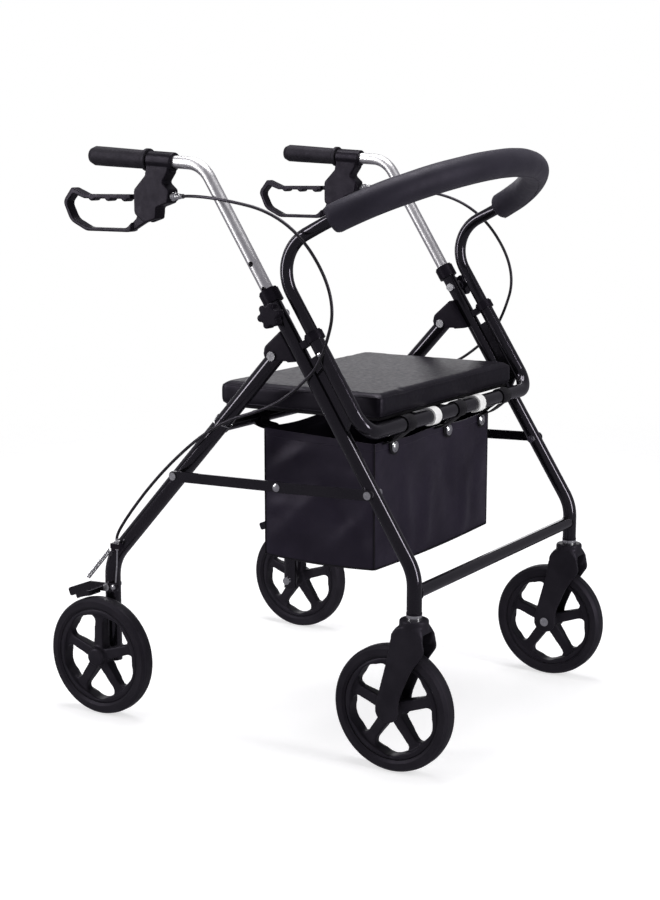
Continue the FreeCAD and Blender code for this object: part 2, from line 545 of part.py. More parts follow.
# ---- casters ----------------------------------------------------------------------------------------
CHEEK_IN = 16.5
CHEEK_T = 5.0
CROWN_TOP = 233.0
cheek_line = []
for ahead, z, r in ((-20.0, 76.8, 17.0), (17.5, 76.8, 17.0), (17.5, 112.0, 70.0), (36.0, 156.0, 60.0),
                    (59.0, 190.0, 12.0), (52.0, 222.0, 10.0), (14.0, 222.0, 12.0), (3.0, 200.0, 14.0),
                    (1.0, 182.0, 60.0), (-20.5, 100.0, 40.0)):
    cheek_line.append((FRONT_X + ahead, z, r))
cone = Part.makeCone(44.0, 24.0, 34.0, V(STEM_X - 2, FRAME_Y, 190.0))
below = box(FRONT_X - 60, FRONT_X + 100, FRAME_Y - 40, FRAME_Y + 40, 0.0, 190.0)
shoulders = one([cone, below])
cheeks = []
for sign in (-1, 1):
    y0 = FRAME_Y + sign * CHEEK_IN
    y1 = y0 + sign * CHEEK_T
    cheeks.append(plate(cheek_line, min(y0, y1), max(y0, y1)).common(shoulders))
crown = plate([(STEM_X - 28, 194.0, 6), (STEM_X - 27, 213.0, 12), (STEM_X - 19, 223.0, 6),
               (STEM_X + 19, 223.0, 6), (STEM_X + 24, 211.0, 9), (STEM_X + 18, 194.0, 6)],
              FRAME_Y - CHEEK_IN - CHEEK_T, FRAME_Y + CHEEK_IN + CHEEK_T)
crown = crown.common(cone)
neck = rod(V(STEM_X, FRAME_Y, 214.0), V(STEM_X, FRAME_Y, CROWN_TOP - 2.0), 21.5)
brim = Part.makeCone(21.5, 19.5, 2.0, V(STEM_X, FRAME_Y, CROWN_TOP - 2.0))
clear_wheel = pin(FRONT_X, WHEEL_R, FRAME_Y - CHEEK_IN, FRAME_Y + CHEEK_IN, WHEEL_R + 4.0)
fork = one(cheeks + [crown, neck, brim]).cut(clear_wheel)
fork = fork.cut(box(STEM_X + 4, STEM_X + 60, FRAME_Y - 14.5, FRAME_Y + 14.5, 180.0, 214.0))
stem = one([
    rod(V(STEM_X, FRAME_Y, CROWN_TOP - 12.0), V(STEM_X, FRAME_Y, 285.0), 6.0),
    rod(V(STEM_X, FRAME_Y, 284.5), V(STEM_X, FRAME_Y, 289.0), 8.0),
    rod(V(STEM_X, FRAME_Y, CROWN_TOP), V(STEM_X, FRAME_Y, 239.0), 11.5)])
front_axle = one([
    pin(FRONT_X, WHEEL_R, FRAME_Y - CHEEK_IN - CHEEK_T - 1, FRAME_Y + CHEEK_IN + CHEEK_T - 1.5, 4.0),
    pin(FRONT_X, WHEEL_R, FRAME_Y - CHEEK_IN - CHEEK_T - 3.0, FRAME_Y - CHEEK_IN - CHEEK_T, 7.5),
    pin(FRONT_X, WHEEL_R, FRAME_Y + 13.3, FRAME_Y + CHEEK_IN, 8.0),
    pin(FRONT_X, WHEEL_R, FRAME_Y - CHEEK_IN, FRAME_Y - 13.3, 8.0)])
fork = fork.cut(stem).cut(front_axle)
pair("caster_fork", fork)
pair("caster_hardware", Part.makeCompound([stem, front_axle]))

# ---- handles ----------------------------------------------------------------------------------------
grip_dir = V(-math.cos(math.radians(GRIP_RISE)), 0, math.sin(math.radians(GRIP_RISE)))
corner = side(HANDLE_TOP)
tube_end = corner + grip_dir * GRIP_REACH
handle_tube = bent([side(HANDLE_FOOT), corner, tube_end], [HANDLE_BEND], HANDLE_R, HANDLE_IN)
for i in range(-2, 3):
    spot = side(KNOB_AT + HOLE_PITCH * i)
    handle_tube = handle_tube.cut(pin(spot.x, spot.z, FRAME_Y, FRAME_Y + 20.0, 4.0))
pair("handle_tube", handle_tube)


def along_grip(d):
    return corner + grip_dir * d


GRIP_FROM = 98.0
GRIP_TO = 208.0
profile = [(GRIP_FROM, HANDLE_R), (GRIP_FROM, 17.0), (GRIP_FROM + 5.0, 17.0), (GRIP_FROM + 8.0, 14.0),
           (GRIP_TO - 30.0, 14.7), (GRIP_TO - 9.0, 14.7), (GRIP_TO - 1.5, 11.5), (GRIP_TO, 9.0),
           (GRIP_TO, 0.0), (GRIP_REACH, 0.0), (GRIP_REACH, HANDLE_R)]
lift = V(-grip_dir.z, 0, grip_dir.x) * -1.0
pts = [along_grip(d) + lift * r for d, r in profile]
grip = Part.Face(Part.makePolygon(pts + [pts[0]])).revolve(corner, grip_dir, 360)
pair("grip", grip)

PIVOT = (-148.0, 820.0)
clamp = rod(along_grip(50.0), along_grip(97.0), 14.0)
body = plate([(-160, 884, 4), (-166, 853, 4), (-187, 832, 5), (-187, 796, 6), (-168, 782, 5),
              (-147, 789, 4), (-145, 806, 3), (-124, 813, 4), (-121, 832, 5), (-134, 843, 4),
              (-124, 857, 3), (-118, 881, 4)], FRAME_Y - 12.0, FRAME_Y + 12.0)
housing = one([clamp, body]).cut(rod(along_grip(40.0), along_grip(110.0), HANDLE_R))
slot = plate([(-200, 846, 0), (-156, 846, 8), (-134, 832, 6), (-134, 811, 3), (-153, 805, 3),
              (-153, 776, 0), (-200, 776, 0)], FRAME_Y - 5.0, FRAME_Y + 5.0)
lever_pin = pin(PIVOT[0], PIVOT[1], FRAME_Y - 11.0, FRAME_Y + 11.0, 2.5)
housing = one([housing.cut(slot), lever_pin])
pair("brake_housing", housing)

ROOT_HALF = 4.5           # half width of the lever's root, inside the housing
LOOP_HALF = 8.5           # half width of the finger loop
LOOP_FROM = -196.0        # the loop is wide behind this x
rim_line = [(-166, 825, 5), (-284, 823.5, 12), (-311, 834, 3), (-329, 812, 12), (-315, 782, 24),
            (-284, 767.5, 22), (-200, 767.5, 24), (-166, 786, 8)]
hollow_line = [(-188, 817.5, 5), (-287, 817, 8), (-308, 824, 3), (-321, 810, 8), (-309, 786, 20),
               (-281, 773, 20), (-206, 773, 18), (-188, 790, 8)]


def loop_of(half):
    low, high = FRAME_Y - half, FRAME_Y + half
    outline = plate(rim_line, low, high)
    loop = outline.cut(plate(hollow_line, low - 1.0, high + 1.0))
    waves = [pin(x, 820.0, low, high, 6.5).common(outline) for x in (-272.0, -240.0, -208.0)]
    return one([loop] + waves)


behind = box(-400.0, LOOP_FROM, FRAME_Y - 20.0, FRAME_Y + 20.0, 700.0, 900.0)
root = tapered((-176, 806), 13.0, PIVOT, 8.5, FRAME_Y - ROOT_HALF, FRAME_Y + ROOT_HALF)
lever = one([loop_of(LOOP_HALF).common(behind), loop_of(ROOT_HALF), root])
lever = lever.cut(pin(PIVOT[0], PIVOT[1], FRAME_Y - 6.0, FRAME_Y + 6.0, 2.5 + RUN))
pair("brake_lever", lever)

ADJUST = (V(-122.5, FRAME_Y + 4.0, 822.0), V(-96.0, FRAME_Y + 10.0, 823.5))
heading = unit(ADJUST[1] - ADJUST[0])
hand_adjuster = one([
    rod(ADJUST[0], ADJUST[1], 2.8, 1.2),
    rod(ADJUST[0] + heading * 4, ADJUST[0] + heading * 9, 5.0, 1.2),
    rod(ADJUST[1] - heading * 8, ADJUST[1], 3.6, 1.2)])
pair("hand_adjuster", hand_adjuster.cut(body))

# ---- knobs ------------------------------------------------------------------------------------------
KNOB_Y = FRAME_Y + 17.0
lobes = [pin(knob_at.x, knob_at.z, KNOB_Y, KNOB_Y + 16.0, 14.0)]
for i in range(6):
    turn = math.radians(60.0 * i + 18.0)
    lobes.append(pin(knob_at.x + 13.5 * math.cos(turn), knob_at.z + 13.5 * math.sin(turn),
                     KNOB_Y, KNOB_Y + 16.0, 5.5))
lobes.append(pin(knob_at.x, knob_at.z, FRAME_Y + 11.6, KNOB_Y + 1.0, 9.0))
lobes.append(pin(knob_at.x, knob_at.z, FRAME_Y + 10.0, FRAME_Y + 12.0, 4.0))
pair("knob", one(lobes))

# ---- brake cables -----------------------------------------------------------------------------------
CABLE_R = 2.4
CABLE_Y = FRAME_Y + 17.0
side_turn = V(112.0, CABLE_Y - 2.0, 556.0)
under_seat = V(60.0, CABLE_Y - 2.0, 520.0)
tie = (side_turn + under_seat) * 0.5
upper = bent([ADJUST[1] + heading * 0.2, ADJUST[1] + heading * 50.0, V(96, CABLE_Y + 3, 800),
              V(178, CABLE_Y + 3, 690), V(150, CABLE_Y - 1, 596), side_turn, tie],
             [90.0, 80.0, 70.0, 60.0, 40.0], CABLE_R)
pair("brake_cable_upper", upper)
wire_top = V(WIRE[0], WIRE[1], STOP_Z + 12.2)
lower_housing = bent([tie, under_seat, V(-40, CABLE_Y - 4, 489), V(-150, WIRE[1], 402),
                      V(WIRE[0], WIRE[1], STOP_Z + 24), wire_top],
                     [60.0, 60.0, 60.0, 28.0], CABLE_R)
wire_foot = V(ARM[0] + 17, ARM_Y + ARM_T / 2, ARM[1] + ARM_HALF + 2.5)
inner_wire = bent([wire_top, V(WIRE[0], WIRE[1], STOP_Z - 12.0), wire_foot], [20.0], 1.2)
nodes["brake_cables_lower"] = both(one([lower_housing, inner_wire]))

os.makedirs("parts", exist_ok=True)
for name, shape in nodes.items():
    shape.exportStep("parts/" + name + ".step")
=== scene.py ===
import json
import math

import bmesh
import bpy
from mathutils import Matrix, Vector, noise


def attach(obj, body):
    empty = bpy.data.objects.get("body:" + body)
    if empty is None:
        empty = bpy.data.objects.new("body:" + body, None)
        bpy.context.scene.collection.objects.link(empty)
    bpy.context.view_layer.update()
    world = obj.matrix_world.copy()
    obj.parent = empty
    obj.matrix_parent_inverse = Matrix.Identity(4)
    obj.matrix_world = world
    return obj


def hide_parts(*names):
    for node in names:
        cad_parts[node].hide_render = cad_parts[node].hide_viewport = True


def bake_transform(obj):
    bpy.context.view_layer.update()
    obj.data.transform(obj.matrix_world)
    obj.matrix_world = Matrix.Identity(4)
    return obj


# Rollator walker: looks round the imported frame.
# Sizes are in millimetres, and become metres as each mesh is made.
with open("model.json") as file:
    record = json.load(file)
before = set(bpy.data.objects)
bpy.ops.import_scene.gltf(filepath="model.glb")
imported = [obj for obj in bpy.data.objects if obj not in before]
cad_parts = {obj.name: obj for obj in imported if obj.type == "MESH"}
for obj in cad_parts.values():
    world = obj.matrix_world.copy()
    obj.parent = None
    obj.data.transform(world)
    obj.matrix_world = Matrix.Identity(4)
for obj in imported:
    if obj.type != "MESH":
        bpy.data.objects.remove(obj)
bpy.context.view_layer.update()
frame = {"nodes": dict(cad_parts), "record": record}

MM = 0.001
SIDES = (("left", 1), ("right", -1))

# ---- places and sizes, in the frame of the CAD model -------------------------------------------------
FRAME_Y = 272.0                 # plane of each side tube
TILT = math.radians(32.3)       # side tube, rearward from vertical
SEAT_BAR = (212.2, 491.9)
SEAT_BAR_R = 11.1
REAR_BAR = (-48.6, 480.0)
REAR_BAR_R = 9.5
FRONT_BAR = (294.0, 270.0)      # the crossbar between the side tubes
FRONT_BAR_R = 9.5
SIDE_TUBE_R = 11.1
LEG_Y = 262.0                   # plane of each rear leg
LEG_R = 12.5
LEG_TILT = math.radians(42.3)   # rear leg, forward from vertical
SEAT_X = (-82.0, 209.0)
SEAT_HALF = 221.0               # half of the seat's width
SEAT_Z = (506.0, 539.5)
SEAT_CORNER = 9.0
BAG_X = (-18.0, 179.0)
BAG_HALF = 188.0                # half of the bag's width
BAG_RIM = (470.0, 462.0)        # height of the rear and front top edges
BAG_FLOOR = 268.0
BAG_CORNER = 5.0
BAG_CLOTH = 1.1                 # thickness of the bag's wall
STRAPS = ((-154.0, 22.0), (9.0, 34.0), (167.0, -8.0))    # y at the bar, and the front tab's shift from it
STRAP_TAIL = 24.0               # how far each strap runs down the bag from its rim
STRAP_HALF = 13.0
TAB_R = 13.5                    # round end of each strap
BOW_START = Vector((127.9, 0.0, 781.4))     # midway between the two ends of the backrest bow
BOW_RISE = math.radians(27.0)
BOW_SIDE_R = 150.0
BOW_FRONT_R = 323.7
BOW_TURN = math.acos((FRAME_Y - BOW_SIDE_R) / (BOW_FRONT_R - BOW_SIDE_R))
BACK_TUBE_R = 9.525
PAD_R = 21.5
PAD_FROM = math.radians(11.0)   # where the pad starts on the bow, as a turn from its end
BRAKE_BOLT = (-248.0, 278.3, 204.0)
HAND_BARREL = (-122.5, 276.0, 822.0)
HAND_BARREL_ALONG = (26.5, 6.0, 1.5)
LINK_RIVET = (69.6, 287.3, 402.3)
CABLE_CLIP = (-40.4, LEG_Y, 489.0)
WIRE_R = 1.2                    # bare brake wire
CLIP_R = 0.8                    # wire of the cable clip
CORNERS = ((1, 1), (-1, 1), (-1, -1), (1, -1))      # signs of x and y, anticlockwise from the front left


# ---- nodes for materials ---------------------------------------------------------------------------
SHEEN_TINT = (0.88, 0.78, 1.0, 1.0)      # the dark parts shine slightly violet


def new_material(name, color, roughness, metallic=0.0, specular=0.5):
    """A material, its node tree and its main shader, with plain values set on the shader."""
    mat = bpy.data.materials.new(name)
    mat.use_nodes = True
    tree = mat.node_tree
    bsdf = tree.nodes["Principled BSDF"]
    bsdf.inputs["Base Color"].default_value = (*color, 1.0)
    bsdf.inputs["Roughness"].default_value = roughness
    bsdf.inputs["Metallic"].default_value = metallic
    bsdf.inputs["Specular IOR Level"].default_value = specular
    if metallic == 0.0:
        bsdf.inputs["Specular Tint"].default_value = SHEEN_TINT
    return mat, tree, bsdf


def coordinates(tree, stretch=(1.0, 1.0, 1.0), turn=(0.0, 0.0, 0.0)):
    """The object's own coordinates, stretched and turned."""
    coord = tree.nodes.new("ShaderNodeTexCoord")
    mapping = tree.nodes.new("ShaderNodeMapping")
    mapping.inputs["Scale"].default_value = stretch
    mapping.inputs["Rotation"].default_value = turn
    tree.links.new(coord.outputs["Object"], mapping.inputs["Vector"])
    return mapping.outputs["Vector"]


def noise_of(tree, where, scale, detail=3.0, roughness=0.5):
    node = tree.nodes.new("ShaderNodeTexNoise")
    node.inputs["Scale"].default_value = scale
    node.inputs["Detail"].default_value = detail
    node.inputs["Roughness"].default_value = roughness
    tree.links.new(where, node.inputs["Vector"])
    return node.outputs["Fac"]


def cells_of(tree, where, scale, feature="F1"):
    node = tree.nodes.new("ShaderNodeTexVoronoi")
    node.feature = feature
    node.inputs["Scale"].default_value = scale
    tree.links.new(where, node.inputs["Vector"])
    return node.outputs["Distance"]


def waves_of(tree, where, scale, direction, distortion=0.0):
    node = tree.nodes.new("ShaderNodeTexWave")
    node.bands_direction = direction
    node.inputs["Scale"].default_value = scale
    node.inputs["Distortion"].default_value = distortion
    node.inputs["Detail"].default_value = 1.0
    tree.links.new(where, node.inputs["Vector"])
    return node.outputs["Fac"]


def rough_from(tree, bsdf, value, low, high):
    """Maps a 0 to 1 value to a roughness between low and high."""
    node = tree.nodes.new("ShaderNodeMapRange")
    node.inputs["From Min"].default_value = 0.25
    node.inputs["From Max"].default_value = 0.75
    node.inputs["To Min"].default_value = low
    node.inputs["To Max"].default_value = high
    tree.links.new(value, node.inputs["Value"])
    tree.links.new(node.outputs["Result"], bsdf.inputs["Roughness"])


def color_from(tree, bsdf, value, dark, light):
    """Maps a 0 to 1 value to a colour between dark and light."""
    node = tree.nodes.new("ShaderNodeValToRGB")
    node.color_ramp.elements[0].position = 0.3
    node.color_ramp.elements[1].position = 0.7
    node.color_ramp.elements[0].color = (*dark, 1.0)
    node.color_ramp.elements[1].color = (*light, 1.0)
    tree.links.new(value, node.inputs["Fac"])
    tree.links.new(node.outputs["Color"], bsdf.inputs["Base Color"])
    return node


def painted_edge_highlight(tree, bsdf, ramp, color, width):
    """Painted highlight: lightens the base colour along sharp edges, where a rounded edge would catch the
    light.
    """
    bevel = tree.nodes.new("ShaderNodeBevel")
    bevel.samples = 4
    bevel.inputs["Radius"].default_value = width
    geometry = tree.nodes.new("ShaderNodeNewGeometry")
    dot = tree.nodes.new("ShaderNodeVectorMath")
    dot.operation = "DOT_PRODUCT"
    tree.links.new(bevel.outputs["Normal"], dot.inputs[0])
    tree.links.new(geometry.outputs["Normal"], dot.inputs[1])
    edge = tree.nodes.new("ShaderNodeMapRange")
    edge.inputs["From Min"].default_value = 0.99
    edge.inputs["From Max"].default_value = 0.80
    edge.inputs["To Max"].default_value = 0.5
    tree.links.new(dot.outputs["Value"], edge.inputs["Value"])
    mix = tree.nodes.new("ShaderNodeMix")
    mix.data_type = "RGBA"
    mix.inputs["B"].default_value = (*color, 1.0)
    tree.links.new(edge.outputs["Result"], mix.inputs["Factor"])
    tree.links.new(ramp.outputs["Color"], mix.inputs["A"])
    tree.links.new(mix.outputs["Result"], bsdf.inputs["Base Color"])


def bump_from(tree, bsdf, layers):
    """Bump from several heights: each layer is (height, strength, distance in metres)."""
    normal = None
    for height, strength, distance in layers:
        bump = tree.nodes.new("ShaderNodeBump")
        bump.inputs["Strength"].default_value = strength
        bump.inputs["Distance"].default_value = distance
        tree.links.new(height, bump.inputs["Height"])
        if normal is not None:
            tree.links.new(normal, bump.inputs["Normal"])
        normal = bump.outputs["Normal"]
    tree.links.new(normal, bsdf.inputs["Normal"])


# ---- materials -------------------------------------------------------------------------------------
def black_paint():
    mat, tree, bsdf = new_material("gloss_black_paint", (0.0035, 0.0035, 0.004), 0.16)
    bsdf.inputs["Coat Weight"].default_value = 0.5
    bsdf.inputs["Coat Roughness"].default_value = 0.05
    where = coordinates(tree)
    color_from(tree, bsdf, noise_of(tree, where, 18.0), (0.0025, 0.0025, 0.003), (0.005, 0.0048, 0.0055))
    rough_from(tree, bsdf, noise_of(tree, where, 60.0), 0.13, 0.19)
    bump_from(tree, bsdf, [(noise_of(tree, where, 160.0, 1.0), 0.02, 0.0002)])
    return mat


def handle_steel():
    """Satin tube: drawn lines run along it, so they are stretched along its lean."""
    mat, tree, bsdf = new_material("satin_steel", (0.72, 0.71, 0.72), 0.24, 1.0)
    where = coordinates(tree, (260.0, 260.0, 9.0), (0.0, TILT, 0.0))
    draw = noise_of(tree, where, 1.0, 1.0)
    color_from(tree, bsdf, draw, (0.80, 0.79, 0.80), (0.88, 0.87, 0.88))
    rough_from(tree, bsdf, draw, 0.36, 0.40)
    bump_from(tree, bsdf, [(draw, 0.003, 0.0001)])
    return mat


def bright_steel():
    mat, tree, bsdf = new_material("zinc_plated_steel", (0.78, 0.78, 0.79), 0.18, 1.0)
    where = coordinates(tree)
    patch = noise_of(tree, where, 220.0)
    color_from(tree, bsdf, patch, (0.66, 0.66, 0.67), (0.86, 0.86, 0.87))
    rough_from(tree, bsdf, noise_of(tree, where, 900.0), 0.13, 0.28)
    bump_from(tree, bsdf, [(noise_of(tree, where, 1500.0), 0.08, 0.0002)])
    return mat


def moulded_plastic(name, dark, light, rough, grain):
    """Black plastic with the fine spark grain of a moulding tool, and a painted highlight along its edges."""
    mat, tree, bsdf = new_material(name, light, rough, 0.0, 0.15)
    where = coordinates(tree)
    ramp = color_from(tree, bsdf, noise_of(tree, where, 30.0), dark, light)
    # Painted highlight: the base colour is lightened to 2.2 times along the edges found by the bevel mask.
    painted_edge_highlight(tree, bsdf, ramp, (light[0] * 2.2, light[1] * 2.2, light[2] * 2.2), 0.0006)
    rough_from(tree, bsdf, noise_of(tree, where, 90.0), rough - 0.06, rough + 0.08)
    bump_from(tree, bsdf, [
        (noise_of(tree, where, grain, 2.0), 0.10, 0.0004),
        (cells_of(tree, where, grain * 0.6), 0.05, 0.0003)])
    return mat


def grip_rubber():
    mat, tree, bsdf = new_material("grip_rubber", (0.016, 0.015, 0.017), 0.55, 0.0, 0.25)
    where = coordinates(tree)
    color_from(tree, bsdf, noise_of(tree, where, 45.0),
               (0.0095, 0.0088, 0.0108), (0.0165, 0.0155, 0.0182))
    rough_from(tree, bsdf, noise_of(tree, where, 120.0), 0.46, 0.62)
    bump_from(tree, bsdf, [(cells_of(tree, where, 900.0), 0.12, 0.0004)])
    return mat


def pad_foam():
    """Skinned foam: matte, with tiny cells and a soft bloom at grazing angles."""
    mat, tree, bsdf = new_material("charcoal_foam", (0.020, 0.018, 0.026), 0.5, 0.0, 0.18)
    bsdf.inputs["Sheen Weight"].default_value = 0.08
    bsdf.inputs["Sheen Roughness"].default_value = 0.5
    bsdf.inputs["Sheen Tint"].default_value = (0.75, 0.72, 0.82, 1.0)
    where = coordinates(tree)
    color_from(tree, bsdf, noise_of(tree, where, 22.0, 4.0),
               (0.0150, 0.0138, 0.0200), (0.0215, 0.0198, 0.0280))
    rough_from(tree, bsdf, noise_of(tree, where, 70.0), 0.44, 0.58)
    bump_from(tree, bsdf, [
        (cells_of(tree, where, 700.0), 0.18, 0.0005),
        (noise_of(tree, where, 60.0, 3.0), 0.10, 0.0015)])
    return mat


def seat_vinyl():
    """Soft vinyl with a pebbled leather grain."""
    mat, tree, bsdf = new_material("seat_vinyl", (0.006, 0.006, 0.007), 0.42, 0.0, 0.25)
    where = coordinates(tree)
    color_from(tree, bsdf, noise_of(tree, where, 14.0, 4.0),
               (0.0040, 0.0036, 0.0052), (0.0070, 0.0062, 0.0090))
    rough_from(tree, bsdf, noise_of(tree, where, 160.0), 0.36, 0.50)
    bump_from(tree, bsdf, [
        (cells_of(tree, where, 420.0, "DISTANCE_TO_EDGE"), 0.22, 0.0006),
        (noise_of(tree, where, 900.0), 0.10, 0.0003),
        (noise_of(tree, where, 16.0, 3.0), 0.12, 0.004)])
    return mat


def bag_nylon():
    """Coated nylon: a fine plain weave with a faint violet sheen."""
    mat, tree, bsdf = new_material("bag_nylon", (0.007, 0.006, 0.009), 0.42, 0.0, 0.28)
    bsdf.inputs["Sheen Weight"].default_value = 0.10
    bsdf.inputs["Sheen Roughness"].default_value = 0.4
    bsdf.inputs["Sheen Tint"].default_value = (0.80, 0.72, 0.90, 1.0)
    where = coordinates(tree)
    color_from(tree, bsdf, noise_of(tree, where, 12.0, 4.0),
               (0.0080, 0.0062, 0.0120), (0.0145, 0.0115, 0.0210))
    rough_from(tree, bsdf, noise_of(tree, where, 35.0), 0.34, 0.46)
    warp = waves_of(tree, where, 320.0, "DIAGONAL")
    weft = waves_of(tree, where, 320.0, "Z")
    bump_from(tree, bsdf, [
        (warp, 0.05, 0.0003),
        (weft, 0.05, 0.0003),
        (noise_of(tree, where, 28.0, 4.0), 0.18, 0.004)])
    return mat


def webbing():
    """Ribbed polypropylene webbing."""
    mat, tree, bsdf = new_material("webbing", (0.004, 0.004, 0.005), 0.6, 0.0, 0.15)
    bsdf.inputs["Sheen Weight"].default_value = 0.05
    where = coordinates(tree)
    color_from(tree, bsdf, noise_of(tree, where, 80.0), (0.0025, 0.0024, 0.0030), (0.0045, 0.0042, 0.0052))
    rough_from(tree, bsdf, noise_of(tree, where, 400.0), 0.5, 0.7)
    bump_from(tree, bsdf, [
        (waves_of(tree, where, 260.0, "Y"), 0.25, 0.0004),
        (waves_of(tree, where, 200.0, "Z"), 0.20, 0.0003)])
    return mat


def cable_jacket():
    mat, tree, bsdf = new_material("cable_jacket", (0.010, 0.010, 0.010), 0.3, 0.0, 0.4)
    where = coordinates(tree)
    color_from(tree, bsdf, noise_of(tree, where, 50.0), (0.007, 0.007, 0.007), (0.014, 0.014, 0.014))
    rough_from(tree, bsdf, noise_of(tree, where, 200.0), 0.24, 0.38)
    bump_from(tree, bsdf, [(noise_of(tree, where, 700.0), 0.08, 0.0003)])
    return mat


def white_nylon():
    mat, tree, bsdf = new_material("white_nylon", (0.82, 0.82, 0.80), 0.35)
    bsdf.inputs["Subsurface Weight"].default_value = 0.15
    bsdf.inputs["Subsurface Radius"].default_value = (0.004, 0.004, 0.004)
    where = coordinates(tree)
    color_from(tree, bsdf, noise_of(tree, where, 60.0), (0.76, 0.76, 0.74), (0.86, 0.86, 0.85))
    rough_from(tree, bsdf, noise_of(tree, where, 150.0), 0.30, 0.42)
    bump_from(tree, bsdf, [(noise_of(tree, where, 800.0), 0.06, 0.0003)])
    return mat


def tyre_rubber():
    mat, tree, bsdf = new_material("tyre_rubber", (0.011, 0.010, 0.013), 0.5, 0.0, 0.22)
    where = coordinates(tree)
    color_from(tree, bsdf, noise_of(tree, where, 25.0, 4.0),
               (0.0085, 0.0078, 0.0100), (0.0140, 0.0130, 0.0160))
    rough_from(tree, bsdf, noise_of(tree, where, 90.0), 0.40, 0.58)
    bump_from(tree, bsdf, [
        (noise_of(tree, where, 1100.0), 0.12, 0.0003),
        (noise_of(tree, where, 45.0, 3.0), 0.06, 0.001)])
    return mat


PLASTIC_DARK = (0.0050, 0.0042, 0.0062)
PLASTIC_LIGHT = (0.0085, 0.0072, 0.0104)
WHEEL_DARK = (0.0110, 0.0100, 0.0130)
WHEEL_LIGHT = (0.0170, 0.0155, 0.0195)
BOARD_DARK = (0.004, 0.004, 0.004)
BOARD_LIGHT = (0.008, 0.008, 0.008)
MATERIALS = {
    "black_paint": black_paint(),
    "handle_steel": handle_steel(),
    "bright_steel": bright_steel(),
    "spring_steel": bright_steel(),
    "black_plastic": moulded_plastic("black_plastic", PLASTIC_DARK, PLASTIC_LIGHT, 0.34, 1100.0),
    "lever_plastic": moulded_plastic("lever_plastic", PLASTIC_DARK, PLASTIC_LIGHT, 0.30, 1300.0),
    "wheel_plastic": moulded_plastic("wheel_plastic", WHEEL_DARK, WHEEL_LIGHT, 0.38, 900.0),
    "seat_board": moulded_plastic("seat_board", BOARD_DARK, BOARD_LIGHT, 0.5, 800.0),
    "grip_rubber": grip_rubber(),
    "pad_foam": pad_foam(),
    "seat_vinyl": seat_vinyl(),
    "bag_nylon": bag_nylon(),
    "webbing": webbing(),
    "cable": cable_jacket(),
    "white_nylon": white_nylon(),
    "tyre": tyre_rubber(),
}


def dress_cad_nodes():
    """Gives every carried-over CAD node its slot's material and smooth curved faces."""
    for part in frame["record"]["subparts"]:
        node = frame["nodes"][part["node"]]
        node.data.materials.clear()
        node.data.materials.append(MATERIALS[part["material_slot"]])
        node.data.shade_smooth()
        node.data.set_sharp_from_angle(angle=math.radians(35.0))


# ---- stage -----------------------------------------------------------------------------------------
CAMERA_AT = (1.4254, -2.3390, 0.9084)
CAMERA_AZIMUTH = math.radians(31.62)
CAMERA_ELEVATION = math.radians(10.37)
FOCAL_PIXELS = 1705.3           # focal length, for an image 900 pixels high
IMAGE_HEIGHT = 900.0
SENSOR = 24.0


def camera():
    data = bpy.data.cameras.new("camera")
    data.sensor_fit = "VERTICAL"
    data.sensor_height = SENSOR
    data.sensor_width = SENSOR
    data.lens = FOCAL_PIXELS / IMAGE_HEIGHT * SENSOR
    obj = bpy.data.objects.new("camera", data)
    obj.location = CAMERA_AT
    obj.rotation_euler = (math.pi / 2 - CAMERA_ELEVATION, 0.0, CAMERA_AZIMUTH)
    bpy.context.scene.collection.objects.link(obj)
    bpy.context.scene.camera = obj


def softbox(name, at, aim, width, height, power):
    data = bpy.data.lights.new(name, "AREA")
    data.shape = "RECTANGLE"
    data.size = width
    data.size_y = height
    data.energy = power
    obj = bpy.data.objects.new(name, data)
    obj.visible_camera = False
    obj.location = at
    obj.rotation_euler = (Vector(aim) - Vector(at)).to_track_quat("-Z", "Y").to_euler()
    bpy.context.scene.collection.objects.link(obj)


def lights():
    """Bright studio: the camera sees white, and black surfaces see dark with bright boxes in it."""
    world = bpy.data.worlds.new("studio")
    bpy.context.scene.world = world
    world.use_nodes = True
    tree = world.node_tree
    ground = tree.nodes["Background"]
    ground.inputs["Color"].default_value = (0.92, 0.89, 1.0, 1.0)
    ground.inputs["Strength"].default_value = 0.20
    seen = tree.nodes.new("ShaderNodeBackground")
    seen.inputs["Color"].default_value = (1.0, 1.0, 1.0, 1.0)
    seen.inputs["Strength"].default_value = 1.0
    path = tree.nodes.new("ShaderNodeLightPath")
    mix = tree.nodes.new("ShaderNodeMixShader")
    tree.links.new(path.outputs["Is Camera Ray"], mix.inputs["Fac"])
    tree.links.new(ground.outputs["Background"], mix.inputs[1])
    tree.links.new(seen.outputs["Background"], mix.inputs[2])
    tree.links.new(mix.outputs["Shader"], tree.nodes["World Output"].inputs["Surface"])
    middle = (0.0, 0.0, 0.5)
    softbox("top_box", (-0.2, 0.2, 2.8), (0.0, 0.0, 0.4), 1.6, 1.6, 55.0)
    softbox("left_strip", (-1.9, -2.1, 1.5), middle, 0.5, 2.4, 38.0)
    softbox("right_strip", (2.9, -0.2, 1.3), middle, 0.5, 2.4, 50.0)
    softbox("far_box", (-2.2, 3.4, 1.15), (0.0, 0.0, 0.6), 3.0, 1.1, 15.0)


